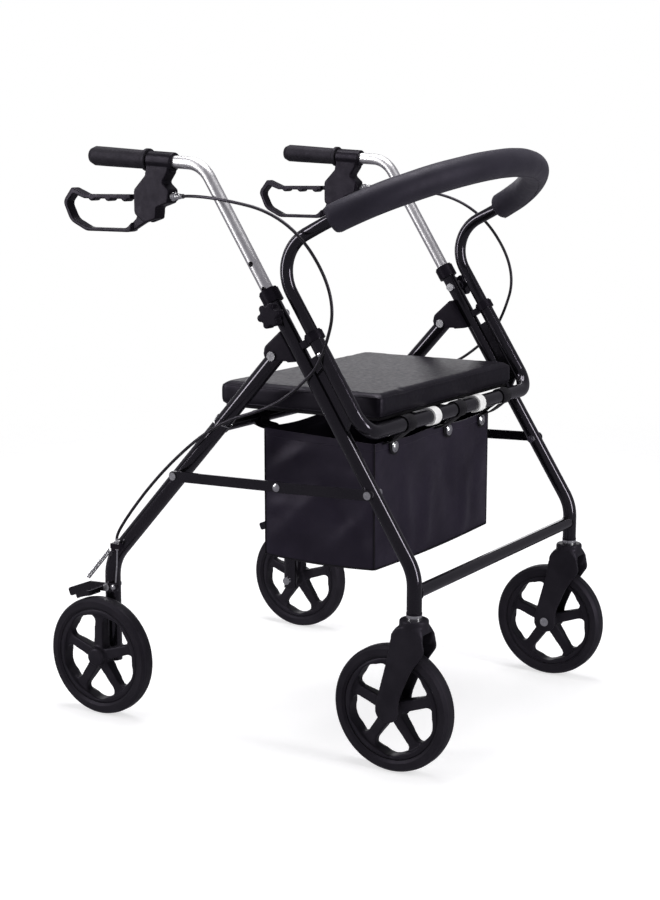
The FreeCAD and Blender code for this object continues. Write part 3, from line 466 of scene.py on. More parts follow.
def floor():
    """Round pale floor that fades into the background at its rim."""
    bpy.ops.mesh.primitive_circle_add(vertices=96, radius=7.0, fill_type="NGON", location=(0, 0, 0))
    obj = bpy.context.object
    obj.name = "studio_floor"
    mat, tree, bsdf = new_material("studio_floor", (0.55, 0.55, 0.55), 0.7)
    where = coordinates(tree)
    rough_from(tree, bsdf, noise_of(tree, where, 3.0), 0.6, 0.8)
    length = tree.nodes.new("ShaderNodeVectorMath")
    length.operation = "LENGTH"
    tree.links.new(where, length.inputs[0])
    fade = tree.nodes.new("ShaderNodeMapRange")
    fade.inputs["From Min"].default_value = 1.1
    fade.inputs["From Max"].default_value = 3.2
    fade.inputs["To Min"].default_value = 1.0
    fade.inputs["To Max"].default_value = 0.0
    fade.interpolation_type = "SMOOTHSTEP"
    tree.links.new(length.outputs["Value"], fade.inputs["Value"])
    tree.links.new(fade.outputs["Result"], bsdf.inputs["Alpha"])
    bsdf.inputs["Emission Color"].default_value = (1.0, 1.0, 1.0, 1.0)
    bsdf.inputs["Emission Strength"].default_value = 0.62
    obj.data.materials.append(mat)
    obj.visible_glossy = False


# ---- mesh helpers ----------------------------------------------------------------------------------
def piece(name, points, faces, material):
    """A mesh object from points in millimetres, with its material and the slot of the same name."""
    mesh = bpy.data.meshes.new(name)
    mesh.from_pydata([Vector(p) * MM for p in points], [], faces)
    mesh.update()
    obj = bpy.data.objects.new(name, mesh)
    bpy.context.scene.collection.objects.link(obj)
    clean = bmesh.new()
    clean.from_mesh(mesh)
    bmesh.ops.recalc_face_normals(clean, faces=clean.faces)
    clean.to_mesh(mesh)
    clean.free()
    mesh.materials.append(MATERIALS[material])
    mesh.shade_smooth()
    mesh.set_sharp_from_angle(angle=math.radians(40.0))
    return obj


def rings_to_faces(count, size, looped=False):
    """Quads between count rings of size points each; looped joins the last ring to the first."""
    faces = []
    last = count if looped else count - 1
    for i in range(last):
        for j in range(size):
            a = i * size + j
            b = i * size + (j + 1) % size
            c = ((i + 1) % count) * size + (j + 1) % size
            d = ((i + 1) % count) * size + j
            faces.append((a, b, c, d))
    if not looped:
        faces.append(tuple(range(size)))
        faces.append(tuple(range((count - 1) * size, count * size)))
    return faces


def frames_along(points):
    """A square frame at each point of a path, turning as little as it can."""
    frames = []
    side = None
    for i, p in enumerate(points):
        ahead = (points[min(i + 1, len(points) - 1)] - points[max(i - 1, 0)]).normalized()
        if side is None:
            side = ahead.cross(Vector((0, 0, 1)))
            if side.length < 0.1:
                side = ahead.cross(Vector((0, 1, 0)))
        side = (side - ahead * side.dot(ahead)).normalized()
        frames.append((p, ahead, side, ahead.cross(side)))
    return frames


def circle(centre, side, up, radius, sides):
    """Points round a centre, in the plane of side and up."""
    turns = [2 * math.pi * j / sides for j in range(sides)]
    return [centre + side * (radius * math.cos(t)) + up * (radius * math.sin(t)) for t in turns]


def open_tube(name, points, radius, material, sides=8):
    """Tube along an open line."""
    rings = []
    for p, _, side, up in frames_along(points):
        rings += circle(p, side, up, radius, sides)
    return piece(name, rings, rings_to_faces(len(points), sides), material)


def closed_tube(name, points, frame_at, radius_at, material, sides=8):
    """Tube round a closed line; frame_at gives two directions across it from its heading."""
    rings = []
    count = len(points)
    for i, p in enumerate(points):
        ahead = (points[(i + 1) % count] - points[i - 1]).normalized()
        rings += circle(p, *frame_at(ahead), radius_at(i), sides)
    return piece(name, rings, rings_to_faces(count, sides, True), material)


def level_frame(ahead):
    """Two directions across a heading, the first of them level."""
    across = ahead.cross(Vector((0, 0, 1))).normalized()
    return across, across.cross(ahead)


def turned(name, start, axis, profile, material, sides=32):
    """Solid turned about an axis from start; profile is (distance along, radius) points."""
    axis = Vector(axis).normalized()
    side = axis.cross(Vector((0, 0, 1)))
    if side.length < 0.1:
        side = axis.cross(Vector((0, 1, 0)))
    side.normalize()
    up = axis.cross(side)
    points = []
    for along, radius in profile:
        points += circle(Vector(start) + axis * along, side, up, max(radius, 0.01), sides)
    return piece(name, points, rings_to_faces(len(profile), sides), material)


def flip_y(point, k):
    """The point on the left side for k = 1, and its mirror image on the right for k = -1."""
    return Vector((point[0], point[1] * k, point[2]))


def rode(obj, body, *replaced):
    """Rides obj on a body and hides the CAD nodes it stands for."""
    if replaced:
        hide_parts(*replaced)
    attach(obj, body)


# ---- cushion and pad -------------------------------------------------------------------------------
def plan_ring(half_x, half_y, corner, inset=0.0):
    """Points round a rectangle with rounded corners, set in from it; the same count for every inset."""
    hx = half_x - inset
    hy = half_y - inset
    r = max(corner - inset, 0.4)
    turns = 6
    points = []
    for quarter, (sx, sy) in enumerate(CORNERS):
        for i in range(turns + 1):
            turn = math.pi / 2 * (quarter + i / turns)
            points.append((sx * (hx - r) + r * math.cos(turn), sy * (hy - r) + r * math.sin(turn)))
        run = 2 * (hx - r) if quarter % 2 == 0 else 2 * (hy - r)
        steps = 18 if quarter % 2 == 0 else 28
        ahead_x, ahead_y = ((-1, 0), (0, -1), (1, 0), (0, 1))[quarter]
        x, y = points[-1]
        for i in range(1, steps):
            along = run * i / steps
            points.append((x + ahead_x * along, y + ahead_y * along))
    return points


CLOTH_FRAMES = 20


def simulated(obj, voxel, pressure, cap):
    """Puffs a closed mesh with cloth and air pressure, and keeps each point within cap of its start."""
    bpy.context.view_layer.objects.active = obj
    remesh = obj.modifiers.new("remesh", "REMESH")
    remesh.mode = "VOXEL"
    remesh.voxel_size = voxel
    bpy.ops.object.modifier_apply(modifier=remesh.name)
    start = [v.co.copy() for v in obj.data.vertices]
    cloth = obj.modifiers.new("cloth", "CLOTH")
    cloth.settings.quality = 5
    cloth.settings.use_pressure = True
    cloth.settings.uniform_pressure_force = pressure
    cloth.settings.tension_stiffness = 12
    cloth.settings.compression_stiffness = 12
    cloth.settings.effector_weights.gravity = 0.0
    scene = bpy.context.scene
    for frame_number in range(1, CLOTH_FRAMES + 1):
        scene.frame_set(frame_number)
    bpy.context.view_layer.update()
    puffed = obj.evaluated_get(bpy.context.evaluated_depsgraph_get())
    ends = [v.co.copy() for v in puffed.data.vertices]
    obj.modifiers.remove(cloth)
    scene.frame_set(1)
    for vertex, a, b in zip(obj.data.vertices, start, ends):
        move = b - a
        if move.length > cap:
            move = move * (cap / move.length)
        vertex.co = a + move
    obj.data.update()


def seat_cushion():
    """Boxed cushion: crowned top, sides that pull in between corners, seams round both edges."""
    mid_x = (SEAT_X[0] + SEAT_X[1]) / 2
    half_x = (SEAT_X[1] - SEAT_X[0]) / 2
    low, high = SEAT_Z
    levels = ((60.0, low), (3.0, low), (0.4, low + 0.6), (-1.2, low + 8.0), (-1.2, high - 6.0),
              (-0.4, high - 0.8), (2.5, high), (30.0, high - 1.0), (70.0, high - 1.2), (110.0, high - 1.2))
    rings = []
    for inset, z in levels:
        for x, y in plan_ring(half_x, SEAT_HALF, SEAT_CORNER, inset):
            rings.append((mid_x + x, y, z))
    size = len(plan_ring(half_x, SEAT_HALF, SEAT_CORNER))
    obj = piece("seat_cushion_cover", rings, rings_to_faces(len(levels), size), "seat_vinyl")
    simulated(obj, voxel=0.0044, pressure=4.0, cap=0.005)
    seam_z = high - 1.2
    for vertex in obj.data.vertices:
        x, y, z = vertex.co / MM
        from_end, from_side = half_x - abs(x - mid_x), SEAT_HALF - abs(y)
        across = max(0.0, 1 - ((x - mid_x) / half_x) ** 2) * max(0.0, 1 - (y / SEAT_HALF) ** 2)
        if z > seam_z:
            z += 2.8 * across - 0.2
        if min(from_end, from_side) < 9.0 and low + 4.0 < z < high - 4.0:
            on_end = from_end < from_side
            along = y / SEAT_HALF if on_end else (x - mid_x) / half_x
            pull = 0.7 * (1 - along ** 4) * math.sin(math.pi * (z - low) / (high - low))
            ripple = 0.7 * noise.noise(Vector((x, y, z * 0.4)) * 0.035)
            if on_end:
                x += (pull + ripple) * (-1 if x > mid_x else 1)
            else:
                y += (pull + ripple) * (-1 if y > 0 else 1)
        z += 0.5 * noise.noise(Vector((x, y, 0.0)) * 0.016) if z > seam_z else 0.0
        vertex.co = Vector((min(max(x, SEAT_X[0] - 2.0), SEAT_X[1] + 2.0),
                            min(max(y, -SEAT_HALF - 2.0), SEAT_HALF + 2.0),
                            min(max(z, low + 0.1), high + 2.5))) * MM
    smooth_points(obj, 1)
    subdivide(obj, 1)
    obj.data.shade_smooth()
    rode(obj, "seat", "seat_cushion")
    foot_z = low + 1.2
    ring = plan_ring(half_x, SEAT_HALF, SEAT_CORNER, 0.5)
    for name, z in (("seat_top_seam", seam_z), ("seat_bottom_seam", foot_z)):
        line = on_surface(obj, [Vector((mid_x + x, y, z)) for x, y in ring])
        rode(closed_tube(name, line, level_frame, lambda _: 0.9, "seat_vinyl"), "seat")
    for i, (sx, sy) in enumerate(CORNERS):
        corner = Vector((mid_x + sx * half_x, sy * SEAT_HALF, 0.0))
        heights = [seam_z + (foot_z - seam_z) * t / 6 for t in range(7)]
        line = on_surface(obj, [corner + Vector((0, 0, z)) for z in heights])
        rode(open_tube(f"seat_corner_seam_{i}", line, 0.8, "seat_vinyl"), "seat")


def on_surface(obj, points):
    """The nearest point of a mesh to each point, in millimetres."""
    found = []
    for p in points:
        _, nearest, _, _ = obj.closest_point_on_mesh(p * MM)
        found.append(nearest / MM)
    return found


def smooth_points(obj, times):
    work = bmesh.new()
    work.from_mesh(obj.data)
    for _ in range(times):
        bmesh.ops.smooth_vert(work, verts=work.verts, factor=0.5,
                              use_axis_x=True, use_axis_y=True, use_axis_z=True)
    work.to_mesh(obj.data)
    work.free()


def subdivide(obj, levels):
    modifier = obj.modifiers.new("subdivision", "SUBSURF")
    modifier.levels = levels
    modifier.render_levels = levels
    bpy.context.view_layer.objects.active = obj
    bpy.ops.object.modifier_apply(modifier=modifier.name)


def bow_point(turn):
    """Point on the backrest bow, in millimetres, from its left side arc (turn 0) to its right (turn pi)."""
    ahead = Vector((math.cos(BOW_RISE), 0.0, math.sin(BOW_RISE)))
    middle_y = FRAME_Y - BOW_SIDE_R
    if turn < BOW_TURN:
        reach, y = BOW_SIDE_R * math.sin(turn), middle_y + BOW_SIDE_R * math.cos(turn)
    elif turn > math.pi - BOW_TURN:
        reach, y = BOW_SIDE_R * math.sin(turn), -middle_y + BOW_SIDE_R * math.cos(turn)
    else:
        base = (BOW_SIDE_R - BOW_FRONT_R) * math.sin(BOW_TURN)
        reach, y = base + BOW_FRONT_R * math.sin(turn), BOW_FRONT_R * math.cos(turn)
    return BOW_START + ahead * reach + Vector((0.0, y, 0.0))


def backrest_pad():
    """Foam sleeve on the bow: cut square at its ends with a soft edge, a little fuller in places."""
    # radius and shift along the bow of each ring of an end, from inside the cut to the full pad
    end_rings = ((BACK_TUBE_R + 0.3, 10.0), (BACK_TUBE_R + 0.5, 1.5), (BACK_TUBE_R + 2.0, 0.3),
                 (PAD_R - 5.0, 0.0), (PAD_R - 1.8, 0.9), (PAD_R - 0.4, 3.2))
    steps = 150
    line = [bow_point(PAD_FROM + (math.pi - 2 * PAD_FROM) * i / steps) for i in range(steps + 1)]
    sides = 40
    rings = []
    frames = frames_along(line)

    def ring(index, radius, shift=0.0, lumps=0.0):
        p, ahead, side, up = frames[index]
        for j in range(sides):
            turn = 2 * math.pi * j / sides
            radial = side * math.cos(turn) + up * math.sin(turn)
            r = radius
            if lumps:
                r += lumps * noise.noise((p + radial * radius) * 0.022)
            rings.append(p + ahead * shift + radial * r)

    for radius, shift in end_rings:
        ring(0, radius, shift)
    for i in range(2, steps - 1):
        ring(i, PAD_R, 0.0, 0.7)
    for radius, shift in reversed(end_rings):
        ring(steps, radius, -shift)
    count = len(rings) // sides
    obj = piece("backrest_foam_pad", rings, rings_to_faces(count, sides), "pad_foam")
    rode(obj, "front_frame", "backrest_pad")
    seam = []
    for p, _, _, up in frames[1:-1:3]:
        seam.append(p - up * (PAD_R + 0.1) if up.z > 0 else p + up * (PAD_R + 0.1))
    rode(open_tube("backrest_pad_seam", seam, 0.5, "pad_foam", 6), "front_frame")


# ---- bag and its straps -------------------------------------------------------------------------------
BAG_MID = (BAG_X[0] + BAG_X[1]) / 2
BAG_REACH = (BAG_X[1] - BAG_X[0]) / 2
BAG_DROOP = 3.5                # how far the middle of each bottom edge hangs below the corners


def edge_sag(x, y, inset=0.0):
    """0 at the bag's corners and 1 in the middle of each bottom edge."""
    if BAG_HALF - abs(y) < BAG_REACH - abs(x):
        return math.cos(math.pi / 2 * min(1.0, abs(x) / (BAG_REACH - inset)))
    return math.cos(math.pi / 2 * min(1.0, abs(y) / (BAG_HALF - inset)))


def bag_top(x):
    """Height of the bag's rim, which slopes a little from back to front."""
    share = (x - BAG_X[0]) / (BAG_X[1] - BAG_X[0])
    return BAG_RIM[0] + (BAG_RIM[1] - BAG_RIM[0]) * share


def ridge(u, v, start, end, width, height):
    """Height at (u, v) of a soft fold along the line from start to end, all as shares of the panel."""
    a, b = Vector(start), Vector(end)
    line = b - a
    share = max(0.0, min(1.0, (Vector((u, v)) - a).dot(line) / line.length_squared))
    off = (Vector((u, v)) - a - line * share).length
    fade = math.sin(math.pi * (0.15 + 0.7 * share))
    return height * fade * math.exp(-(off / width) ** 2)


# Folds of a panel: start, end and width as shares of it, and height in millimetres.
SIDE_FOLDS = (
    ((0.02, 0.90), (0.55, 0.42), 0.085, 2.6),
    ((0.10, 0.30), (0.42, 0.10), 0.070, 1.8),
    ((0.52, 0.30), (0.98, 0.86), 0.075, -2.2),
    ((0.05, 0.62), (0.30, 0.52), 0.060, 1.6),
    ((0.62, 0.86), (0.95, 0.55), 0.060, 1.6),
)
FRONT_FOLDS = (
    ((0.09, 0.55), (0.13, 1.00), 0.028, 2.2),
    ((0.24, 0.25), (0.30, 0.95), 0.040, 1.9),
    ((0.47, 0.35), (0.41, 0.98), 0.035, 2.2),
    ((0.60, 0.10), (0.64, 0.75), 0.045, -1.6),
    ((0.80, 0.45), (0.76, 1.00), 0.030, 2.2),
    ((0.93, 0.30), (0.90, 0.90), 0.030, 1.4),
)


def panel_lift(x, y, depth):
    """How far the cloth stands out of its flat panel; depth runs from 0 at the rim to 1 at the floor."""
    on_side = BAG_HALF - abs(y) < BAG_REACH - abs(x)
    if on_side:
        u = 0.5 + x / (2 * BAG_REACH)
        u = u if y < 0 else 1 - u
    else:
        u = 0.5 + y / (2 * BAG_HALF)
        u = u if x > 0 else 1 - u
    edge = min(u, 1 - u)
    calm = min(1.0, edge / 0.06) * min(1.0, (1 - depth) / 0.06) * min(1.0, depth / 0.10)
    lift = 2.4 * math.sin(math.pi * u) * math.sin(math.pi * depth) ** 0.8 * (0.6 if on_side else -0.8)
    for start, end, width, height in SIDE_FOLDS if on_side else FRONT_FOLDS:
        lift += 1.8 * ridge(u, depth, start, end, width, height)
    lift += 1.6 * noise.noise(Vector((u * 5.0, depth * 4.0, 3.0 if on_side else 9.0)))
    lift += 0.5 * noise.noise(Vector((u * 16.0, depth * 12.0, 5.0 if on_side else 2.0)))
    return lift * calm


def bag():
    """Open box of thin nylon, sewn from a cross-shaped cut, sagging between its straps."""
    outer = plan_ring(BAG_REACH, BAG_HALF, BAG_CORNER)
    size = len(outer)
    levels = [0.0, 0.004, 0.03, 0.058, 0.062, 0.09]
    levels += [0.12 + 0.88 * (i / 34) for i in range(34)] + [0.985, 1.0]
    floor_insets = [4.0, 12.0, 26.0, 44.0, 64.0, 84.0, 100.0]

    def wall_point(i, depth, inward):
        x, y = outer[i]
        nx, ny = outward(outer, i)
        lift = panel_lift(x, y, depth) - inward
        if depth < 0.06:
            lift += 0.7
        rim = bag_top(BAG_MID + x)
        swing = math.sin(math.pi * (y + BAG_HALF) / (2 * BAG_HALF) * 2.0)
        sag = 3.2 * swing ** 2 * max(0.0, 1 - depth / 0.35)
        droop = BAG_DROOP * edge_sag(x, y) * depth ** 3
        z = rim - sag - (rim - BAG_FLOOR) * depth - droop
        return BAG_MID + x + nx * lift, y + ny * lift, z

    def floor_ring(inset, up):
        ring = []
        for x, y in plan_ring(BAG_REACH, BAG_HALF, BAG_CORNER, inset):
            share = min(1.0, inset / 60.0)
            sag = BAG_DROOP * (1 - share) * edge_sag(x, y, inset)
            sag += 4.5 * share + 1.0 * noise.noise(Vector((x, y, 0)) * 0.02) * share
            ring.append((BAG_MID + x, y, BAG_FLOOR + 3.0 - sag + up))
        return ring

    rings = []
    for inset in reversed(floor_insets):
        rings += floor_ring(inset, 0.0)
    for depth in reversed(levels):
        rings += [wall_point(i, depth * 0.985, 0.0) for i in range(size)]
    for depth in levels:
        rings += [wall_point(i, depth * 0.985, BAG_CLOTH) for i in range(size)]
    for inset in floor_insets:
        rings += floor_ring(inset, BAG_CLOTH)
    count = 2 * (len(levels) + len(floor_insets))
    obj = piece("bag_cloth", rings, rings_to_faces(count, size), "bag_nylon")
    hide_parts("bag")
    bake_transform(obj)
    trims = []
    for k, (sx, sy) in enumerate(CORNERS):
        x = sx * (BAG_REACH - BAG_CORNER + BAG_CORNER * math.sqrt(0.5) + 0.5)
        y = sy * (BAG_HALF - BAG_CORNER + BAG_CORNER * math.sqrt(0.5) + 0.5)
        top = bag_top(BAG_MID + x) - 1.0
        line = [Vector((BAG_MID + x, y, top + (BAG_FLOOR + 2.0 - top) * i / 12)) for i in range(13)]
        trims.append(open_tube(f"bag_corner_welt_{k}", line, 1.3, "webbing"))
    line = [Vector((BAG_MID + x, y, BAG_FLOOR + 2.6 - BAG_DROOP * edge_sag(x, y)))
            for x, y in plan_ring(BAG_REACH, BAG_HALF, BAG_CORNER, -0.4)]
    trims.append(closed_tube("bag_floor_welt", line, level_frame, lambda _: 1.4, "webbing"))
    for trim in trims:
        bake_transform(trim)


def outward(points, i):
    """Outward direction at point i of a closed outline."""
    ax, ay = points[i - 1]
    bx, by = points[(i + 1) % len(points)]
    length = math.hypot(bx - ax, by - ay)
    return (by - ay) / length, -(bx - ax) / length


def ribbon(name, path, half_width_at, thick, y_mid):
    """Flat strap along a path; half_width_at gives half its width by distance from the start."""
    rings = []
    distance = 0.0
    for i, p in enumerate(path):
        if i:
            distance += (p - path[i - 1]).length
        ahead = (path[min(i + 1, len(path) - 1)] - path[max(i - 1, 0)]).normalized()
        out = Vector((0, 1, 0)).cross(ahead).normalized()
        w = half_width_at(distance)
        for across, lift in ((-w, -0.5), (-w * 0.94, -1.0), (w * 0.94, -1.0), (w, -0.5), (w, 0.5),
                             (w * 0.94, 1.0), (-w * 0.94, 1.0), (-w, 0.5)):
            rings.append(p + Vector((0, y_mid + across, 0)) + out * (lift * thick / 2))
    return piece(name, rings, rings_to_faces(len(path), 8), "webbing")


def strap_width(distance):
    """Half width of a bag strap: a round tab at its end, then the full webbing."""
    if distance < TAB_R:
        return max(0.6, math.sqrt(max(0.0, TAB_R ** 2 - (TAB_R - distance) ** 2)))
    return STRAP_HALF


def strap_path(bar, bar_r, tab_x, tab_z, ahead, shift):
    """From the tab's end up the bag and once round the bar; ahead is 1 where the bar is in front."""
    r = bar_r + 1.3
    path = [Vector((tab_x, shift * (1 - d * 0.008), tab_z + d))
            for d in (0.0, 0.4, 1.2, 2.5, 4.5, 7.0, 9.5, 12.5, 19.0)]
    first = 205.0              # degrees round the bar where the strap meets it
    meet = math.radians(first)
    start = Vector((bar[0] + ahead * r * math.cos(meet), 0, bar[1] + r * math.sin(meet)))
    leave = Vector((ahead * math.sin(meet), 0, -math.cos(meet)))
    a = path[-1]
    reach = (start - a).length
    for i in range(1, 9):
        t = i / 9
        b = a + Vector((0, 0, reach * 0.4))
        c = start - leave * (reach * 0.4)
        spot = a * (1 - t) ** 3 + b * (3 * t * (1 - t) ** 2) + c * (3 * t * t * (1 - t)) + start * t ** 3
        spot.y = a.y * (1 - t)
        path.append(spot)
    for i in range(25):
        turn = math.radians(first - 12.0 * i)
        path.append(Vector((bar[0] + ahead * r * math.cos(turn), 0, bar[1] + r * math.sin(turn))))
    last = path[-1]
    inside = Vector((tab_x - ahead * 3.2, 0, tab_z + 20.0))
    for i in range(1, 7):
        path.append(last + (inside - last) * (i / 6) + Vector((0, 0, -3.0 * math.sin(math.pi * i / 6))))
    return path


# Outline of a snap, as (distance along, radius).
SNAP = [(0.0, 0.0), (0.0, 8.9), (0.8, 9.2), (1.6, 8.3), (1.4, 6.6), (2.2, 5.9), (3.1, 3.7), (3.4, 0.0)]


def straps():
    """Three straps with their snaps on the front bar, and three on the rear bar."""
    for side_name, bar, bar_r, face, ahead, body, rim in (
            ("front", SEAT_BAR, SEAT_BAR_R, BAG_X[1] + 2.2, 1, "front_frame", BAG_RIM[1]),
            ("rear", REAR_BAR, REAR_BAR_R, BAG_X[0] - 2.2, -1, "rear_frame", BAG_RIM[0])):
        for i, (y, tab_shift) in enumerate(STRAPS):
            shift = tab_shift if ahead == 1 else 0.0
            path = strap_path(bar, bar_r, face, rim - STRAP_TAIL, ahead, shift)
            obj = ribbon(f"bag_strap_{side_name}_{i}", path, strap_width, 1.5, y)
            rode(obj, body, f"bag_straps_{side_name}")
            at = Vector((face + ahead * 0.5, y + shift, rim - STRAP_TAIL + TAB_R - 1.0))
            rode(turned(f"bag_snap_{side_name}_{i}", at, (ahead, 0, 0), SNAP, "bright_steel"), body)


# ---- brake cables ---------------------------------------------------------------------------------------
CABLE_D = 4.8
UPPER_ROUTE = ((-95.8, 282.0, 823.5), (-47.3, 293.0, 826.3), (96.0, 292.0, 800.0), (178.0, 292.0, 690.0),
               (150.0, 288.0, 596.0), (112.0, 287.0, 556.0), (86.0, 287.0, 538.0))
LOWER_ROUTE = ((86.0, 287.0, 538.0), (60.0, 287.0, 520.0), (-40.0, 285.0, 489.0), (-150.0, 279.5, 402.0),
               (-238.1, 279.5, 298.0), (-238.1, 279.5, 286.2))
BARE_WIRE = ((-238.1, 279.5, 286.0), (-238.1, 279.5, 276.0), (-238.4, 279.3, 262.0),
             (-240.3, 278.6, 240.0), (-243.0, 277.6, 224.0), (-244.8, 276.9, 212.5))


def spline(name, points, radius):
    """Curve object with one open NURBS spline through control points in millimetres."""
    data = bpy.data.curves.new(name, "CURVE")
    data.dimensions = "3D"
    line = data.splines.new("NURBS")
    line.points.add(len(points) - 1)
    for i, p in enumerate(points):
        line.points[i].co = (*[c * MM for c in p], 1.0)
    line.order_u = 3
    line.use_endpoint_u = True
    line.resolution_u = 16
    data.bevel_depth = radius * MM
    data.bevel_resolution = 3
    data.use_fill_caps = True
    obj = bpy.data.objects.new(name, data)
    bpy.context.scene.collection.objects.link(obj)
    return obj


def cable(name, route, k, replaced):
    """Round cable as a mesh along the route's spline."""
    points = [flip_y(p, k) for p in route]
    centre = spline(name + "_line", points, 0.0)
    centre.data.use_fill_caps = False
    bpy.context.view_layer.update()
    line_mesh = bpy.data.meshes.new_from_object(centre)
    bpy.data.objects.remove(centre)
    curve = spline(name + "_curve", points, CABLE_D / 2)
    bpy.context.view_layer.update()
    mesh = bpy.data.meshes.new_from_object(curve)
    bpy.data.objects.remove(curve)
    obj = bpy.data.objects.new(name, mesh)
    bpy.context.scene.collection.objects.link(obj)
    mesh.materials.clear()
    mesh.materials.append(MATERIALS["cable"])
    mesh.shade_smooth()
    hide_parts(replaced)
    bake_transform(obj)


def cables():
    """Each side's cable from the hand lever to the tie and on to the leg, and the bare wire below it."""
    for side_name, k in SIDES:
        cable(f"brake_cable_hand_{side_name}", UPPER_ROUTE, k, f"brake_cable_upper_{side_name}")
        cable(f"brake_cable_leg_{side_name}", LOWER_ROUTE, k, "brake_cables_lower")
        wire = [flip_y(p, k) for p in BARE_WIRE]
        rode(open_tube(f"brake_wire_{side_name}", wire, WIRE_R, "bright_steel", 10), "rear_frame")


# ---- moulded and welded parts -----------------------------------------------------------------------------
def moulded(node, voxel, rounds, keep, both_sides=True):
    """A copy of a CAD node with a moulding's soft edges; the right side is the left one mirrored."""
    left = f"{node}_left" if both_sides else node
    source = frame["nodes"][left]
    mesh = source.data.copy()
    mesh.transform(source.matrix_world)
    obj = bpy.data.objects.new(f"{node}_moulding_left" if both_sides else f"{node}_moulding", mesh)
    bpy.context.scene.collection.objects.link(obj)
    work = bmesh.new()
    work.from_mesh(mesh)
    bmesh.ops.remove_doubles(work, verts=work.verts, dist=0.00001)
    work.to_mesh(mesh)
    work.free()
    bpy.context.view_layer.objects.active = obj
    remesh = obj.modifiers.new("remesh", "REMESH")
    remesh.mode = "VOXEL"
    remesh.voxel_size = voxel * MM
    smooth = obj.modifiers.new("smooth", "SMOOTH")
    smooth.iterations = rounds
    smooth.factor = 0.5
    fewer = obj.modifiers.new("fewer", "DECIMATE")
    fewer.ratio = keep
    for name in ("remesh", "smooth", "fewer"):
        bpy.ops.object.modifier_apply(modifier=name)
    obj.data.shade_smooth()
    finish_moulding(obj, left)
    if both_sides:
        mirrored = obj.data.copy()
        mirrored.transform(Matrix.Scale(-1.0, 4, (0.0, 1.0, 0.0)))
        mirrored.flip_normals()
        twin = bpy.data.objects.new(f"{node}_moulding_right", mirrored)
        bpy.context.scene.collection.objects.link(twin)
        finish_moulding(twin, f"{node}_right")


def finish_moulding(obj, node):
    """Gives a moulding the slot and the body of its CAD node."""
    slots = {part["node"]: part["material_slot"] for part in frame["record"]["subparts"]}
    homes = frame["record"]["behaviour"]["bodies"]
    body = next(name for name, nodes in homes.items() if node in nodes)
    obj.data.materials.clear()
    obj.data.materials.append(MATERIALS[slots[node]])
    rode(obj, body, node)


def mouldings():
    """Node, voxel in millimetres, smoothing rounds and share of faces kept."""
    moulded("caster_fork", 1.4, 8, 0.35)
    moulded("brake_housing", 1.1, 6, 0.4)
    moulded("brake_lever", 0.9, 5, 0.3)
    moulded("front_wheel_core", 1.5, 6, 0.35)
    moulded("rear_wheel_core", 1.5, 6, 0.35)
    moulded("knob", 0.8, 6, 0.35)
    moulded("hinge_brackets", 1.1, 5, 0.4, both_sides=False)


def weld_bead(name, centre_xz, y_tube, tube_r, bar_r, tilt, k, body):
    """Bead where a crossbar meets a tube that leans by tilt in the XZ plane."""
    steps = 48
    points = []
    for i in range(steps):
        turn = 2 * math.pi * i / steps
        off = bar_r * math.cos(turn - tilt)
        reach = math.sqrt(tube_r ** 2 - off ** 2)
        ripple = 0.25 * math.sin(turn * 17)
        points.append(Vector((centre_xz[0] + (bar_r + 0.6) * math.cos(turn),
                              k * (y_tube - reach - 0.5 + ripple),
                              centre_xz[1] + (bar_r + 0.6) * math.sin(turn))))

    def bead_frame(ahead):
        out = Vector((0, 1, 0))
        out = (out - ahead * out.dot(ahead)).normalized()
        return out, ahead.cross(out)

    rode(closed_tube(name, points, bead_frame, lambda i: 1.5 + 0.25 * math.sin(i * 2.1), "black_paint"), body)


def welds():
    for side_name, k in SIDES:
        weld_bead(f"front_weld_{side_name}", FRONT_BAR, FRAME_Y, SIDE_TUBE_R, FRONT_BAR_R, 0.0, k,
                  "front_frame")
        weld_bead(f"rear_weld_{side_name}", REAR_BAR, LEG_Y, LEG_R, REAR_BAR_R, -LEG_TILT, k, "rear_frame")


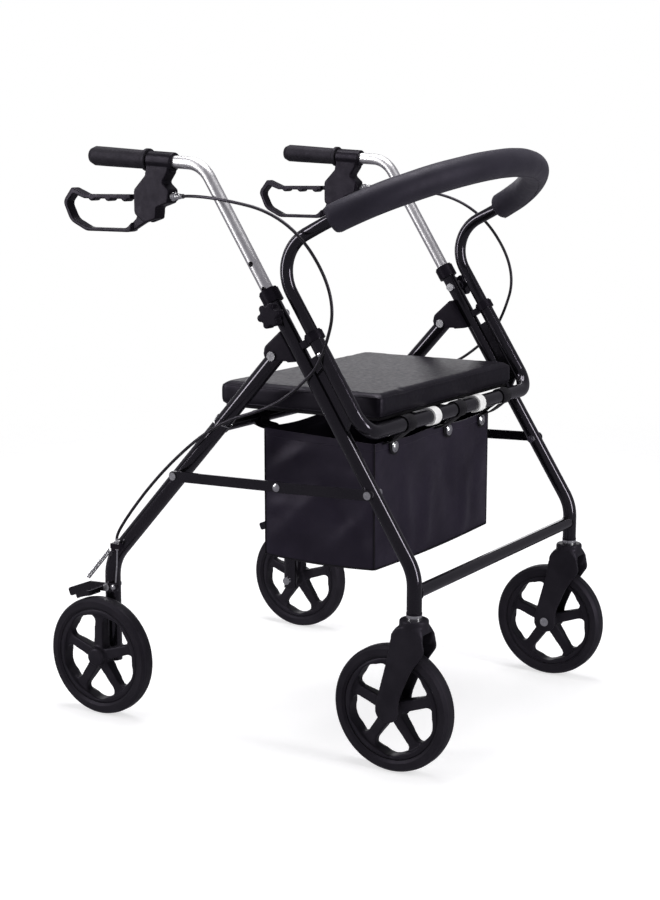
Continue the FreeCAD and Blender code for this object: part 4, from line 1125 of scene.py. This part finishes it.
# Outlines of the turned heads, as (distance along, radius).
BOLT_HEAD = [(0.0, 0.0), (0.0, 4.9), (2.0, 4.9), (2.7, 4.2), (3.0, 2.4), (3.1, 0.0)]
RIVET_HEAD = [(0.0, 0.0), (0.0, 6.2), (1.8, 6.2), (2.6, 5.2), (3.0, 3.0), (3.1, 0.0)]
BARREL = [(3.0, 0.0), (3.0, 5.2), (4.0, 6.4), (7.0, 6.4), (7.6, 5.8), (8.2, 6.4), (11.0, 6.4), (12.5, 4.6),
          (20.0, 4.2), (20.6, 3.0), (20.6, 0.0)]


def bolt_heads():
    """Bright heads on each brake arm, each hand adjuster and the rivet between each pair of link bars."""
    for side_name, k in SIDES:
        for name, body, at, axis, outline in (
                ("brake_arm_bolt", "brake_arm", BRAKE_BOLT, (0, 1, 0), BOLT_HEAD),
                ("hand_adjuster_barrel", "handle", HAND_BARREL, HAND_BARREL_ALONG, BARREL),
                ("link_rivet", "link_front", LINK_RIVET, (0, 1, 0), RIVET_HEAD)):
            obj = turned(f"{name}_{side_name}", flip_y(at, k), flip_y(axis, k), outline, "bright_steel")
            rode(obj, f"{body}_{side_name}")


def cable_clips():
    """Wire clip round each rear leg and its brake cable: a big arc, a small one and their tangents."""
    along = Vector((math.sin(LEG_TILT), 0, math.cos(LEG_TILT)))
    across = Vector((math.cos(LEG_TILT), 0, -math.sin(LEG_TILT)))
    big, small, apart = 13.4, 3.4, 22.6
    limit = math.acos((big - small) / apart)

    def leg_frame(ahead):
        return along, ahead.cross(along).normalized()

    for side_name, k in SIDES:
        centre = flip_y(CABLE_CLIP, k)
        outline = []
        for i in range(33):
            turn = limit + (2 * math.pi - 2 * limit) * i / 32
            outline.append((big * math.cos(turn), big * math.sin(turn)))
        for i in range(13):
            turn = -limit + 2 * limit * i / 12
            outline.append((apart + small * math.cos(turn), small * math.sin(turn)))
        line = [centre + Vector((0, k, 0)) * u + across * v for u, v in outline]
        obj = closed_tube(f"cable_clip_{side_name}", line, leg_frame, lambda _: CLIP_R, "bright_steel")
        rode(obj, "rear_frame")


dress_cad_nodes()
seat_cushion()
backrest_pad()
bag()
straps()
cables()
mouldings()
welds()
bolt_heads()
cable_clips()
camera()
lights()
floor()
bpy.context.scene.view_settings.view_transform = "Standard"
